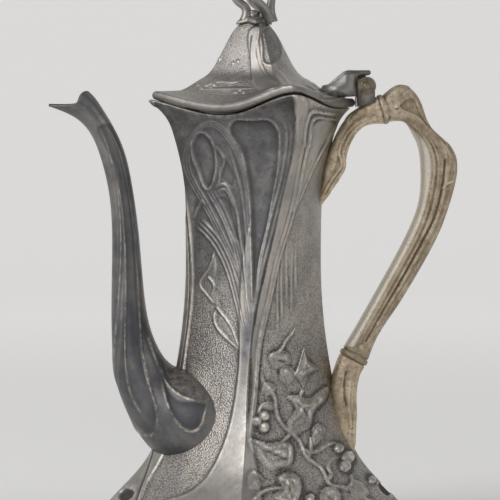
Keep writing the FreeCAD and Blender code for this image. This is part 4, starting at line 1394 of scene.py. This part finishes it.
handle_piece("upper_socket_casting", "handle_upper_socket",
             [ring_face(UPPER_RING, UPPER_TILT, -1, 7), (54, 206), (46.5, 200), (39.5, 188), (35.5, 176),
              (33.5, 165), (30, 152)],
             [ring_face(UPPER_RING, UPPER_TILT, -1, -7), (56, 196), (49.5, 189), (46.5, 180), (44.5, 172),
              (39, 163.5), (33, 155)],
             [6.6, 5.6, 4.6, 4.0, 3.6, 3.2, 1.5], upper_ornament, 3.2, SOCKET_GILT_PAINTED_LIGHTER, 240, 121)
handle_piece("lower_socket_casting", "handle_lower_socket",
             [ring_face(LOWER_RING, LOWER_TILT, -1, -7), (52, 68), (51.3, 55), (51.5, 44), (50, 31)],
             [ring_face(LOWER_RING, LOWER_TILT, -1, 7), (39, 70), (39, 56), (42, 44), (47, 33)],
             [6.6, 6.0, 4.6, 3.6, 1.6], lower_ornament, 2.8, SOCKET_GILT_PAINTED_LIGHTER, 240, 121)

# %% [markdown]
# ## Small fittings
# The pins, the collar under the lid, the floor and the stud with its nut keep the CAD model's own shape. Each
# gets the finish of the metal it belongs to. They are hidden or tiny, so modelling them again would add
# nothing.

# %% Finishes for the fittings
PIN_METAL = silver_gilt("pin_metal", 1.35)
FITTINGS = {"base_plate": BODY_METAL, "lid_bezel": LID_METAL}
FITTINGS |= {node: DULL_GILT for node in ("finial_stud", "finial_washer", "finial_nut", "hinge_pin")}
FITTINGS |= {f"handle_{end}_pin": PIN_METAL
             for end in ("upper_socket", "upper_grip", "lower_socket", "lower_grip")}
for node, metal in FITTINGS.items():
    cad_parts[node].data.materials.clear()
    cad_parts[node].data.materials.append(metal)
print(len(FITTINGS), "fittings finished")

# %% [markdown]
# ## Ground
# A pale floor that curves up into a backdrop, far enough off for the camera to walk round the pot. Paper far
# from the lamps would look grey, so it glows a little for the camera and in reflections, more with the
# distance. The shadow stays.

# %% The backdrop
RISE_START, RISE = 3.8, 1.2
GLOW = 0.345


def backdrop():
    """A floor with a curved rise behind."""
    line = [(-6.0, 0.0), (0.0, 0.0), (RISE_START, 0.0)]
    bend = np.linspace(0.1, math.pi / 2, 14)
    line += [(RISE_START + RISE * math.sin(a), RISE - RISE * math.cos(a)) for a in bend]
    line += [(RISE_START + RISE, 5.0)]
    mesh = grid_mesh("backdrop", np.array([[(x, y, z) for x in np.linspace(-7, 7, 9)] for y, z in line]))
    mesh.polygons.foreach_set("use_smooth", [True] * len(mesh.polygons))
    piece = bpy.data.objects.new("backdrop", mesh)
    bpy.context.scene.collection.objects.link(piece)
    material, shader, place = new_metal("paper")
    shader.inputs["Base Color"].default_value = colour(0.86, 0.855, 0.845)
    shader.inputs["Roughness"].default_value = 0.9
    ray = [place.node("ShaderNodeLightPath", None, None, f"Is {kind} Ray")
           for kind in ("Camera", "Glossy", "Transmission")]
    seen = (ray[0] + ray[1] + ray[2]).clamped()
    spot = place.node("ShaderNodeNewGeometry", None, None, "Position")
    reach = place.node("ShaderNodeVectorMath", {"operation": "LENGTH"}, {"Vector": spot}, "Value")
    glow = seen * (reach.ramp(-1.0, 3.0) * 0.85 + 0.15)
    feed(glow.mix(colour(0, 0, 0), colour(1.0, 0.99, 0.98)), shader, "Emission Color")
    shader.inputs["Emission Strength"].default_value = GLOW
    piece.data.materials.append(material)


backdrop()
print("backdrop rises", RISE_START, "m behind the pot")

# %% [markdown]
# ## Light
# A large soft lamp from the upper left and a weak one from the right. Metal shows what surrounds it, so the
# world is a quiet grey. A picture of a room would give livelier reflections, but it would be one more file to
# carry.


# %% The lamps
def lamp(name, size, power, place, target=(0.0, 0.0, 0.13)):
    """A square lamp that faces its target."""
    data = bpy.data.lights.new(name, "AREA")
    data.size = size
    data.energy = power
    lamp_object = bpy.data.objects.new(name, data)
    bpy.context.scene.collection.objects.link(lamp_object)
    lamp_object.location = place
    way = np.array(target) - np.array(place)
    tilt = math.acos(-way[2] / np.linalg.norm(way))
    lamp_object.rotation_euler = (tilt, 0, math.atan2(way[1], way[0]) - math.pi / 2)


lamp("key", 1.4, 16.0, (-1.35, -0.7, 1.05))
lamp("fill", 1.2, 5.0, (1.3, -1.1, 1.1))
world = bpy.data.worlds.new("room")
world.use_nodes = True
sky = world.node_tree.nodes["Background"]
sky.inputs["Color"].default_value = colour(0.80, 0.80, 0.80)
sky.inputs["Strength"].default_value = 0.48
bpy.context.scene.world = world
bpy.context.scene.view_settings.view_transform = "Standard"
print("lamps:", [light.name for light in bpy.data.lights])

# %% [markdown]
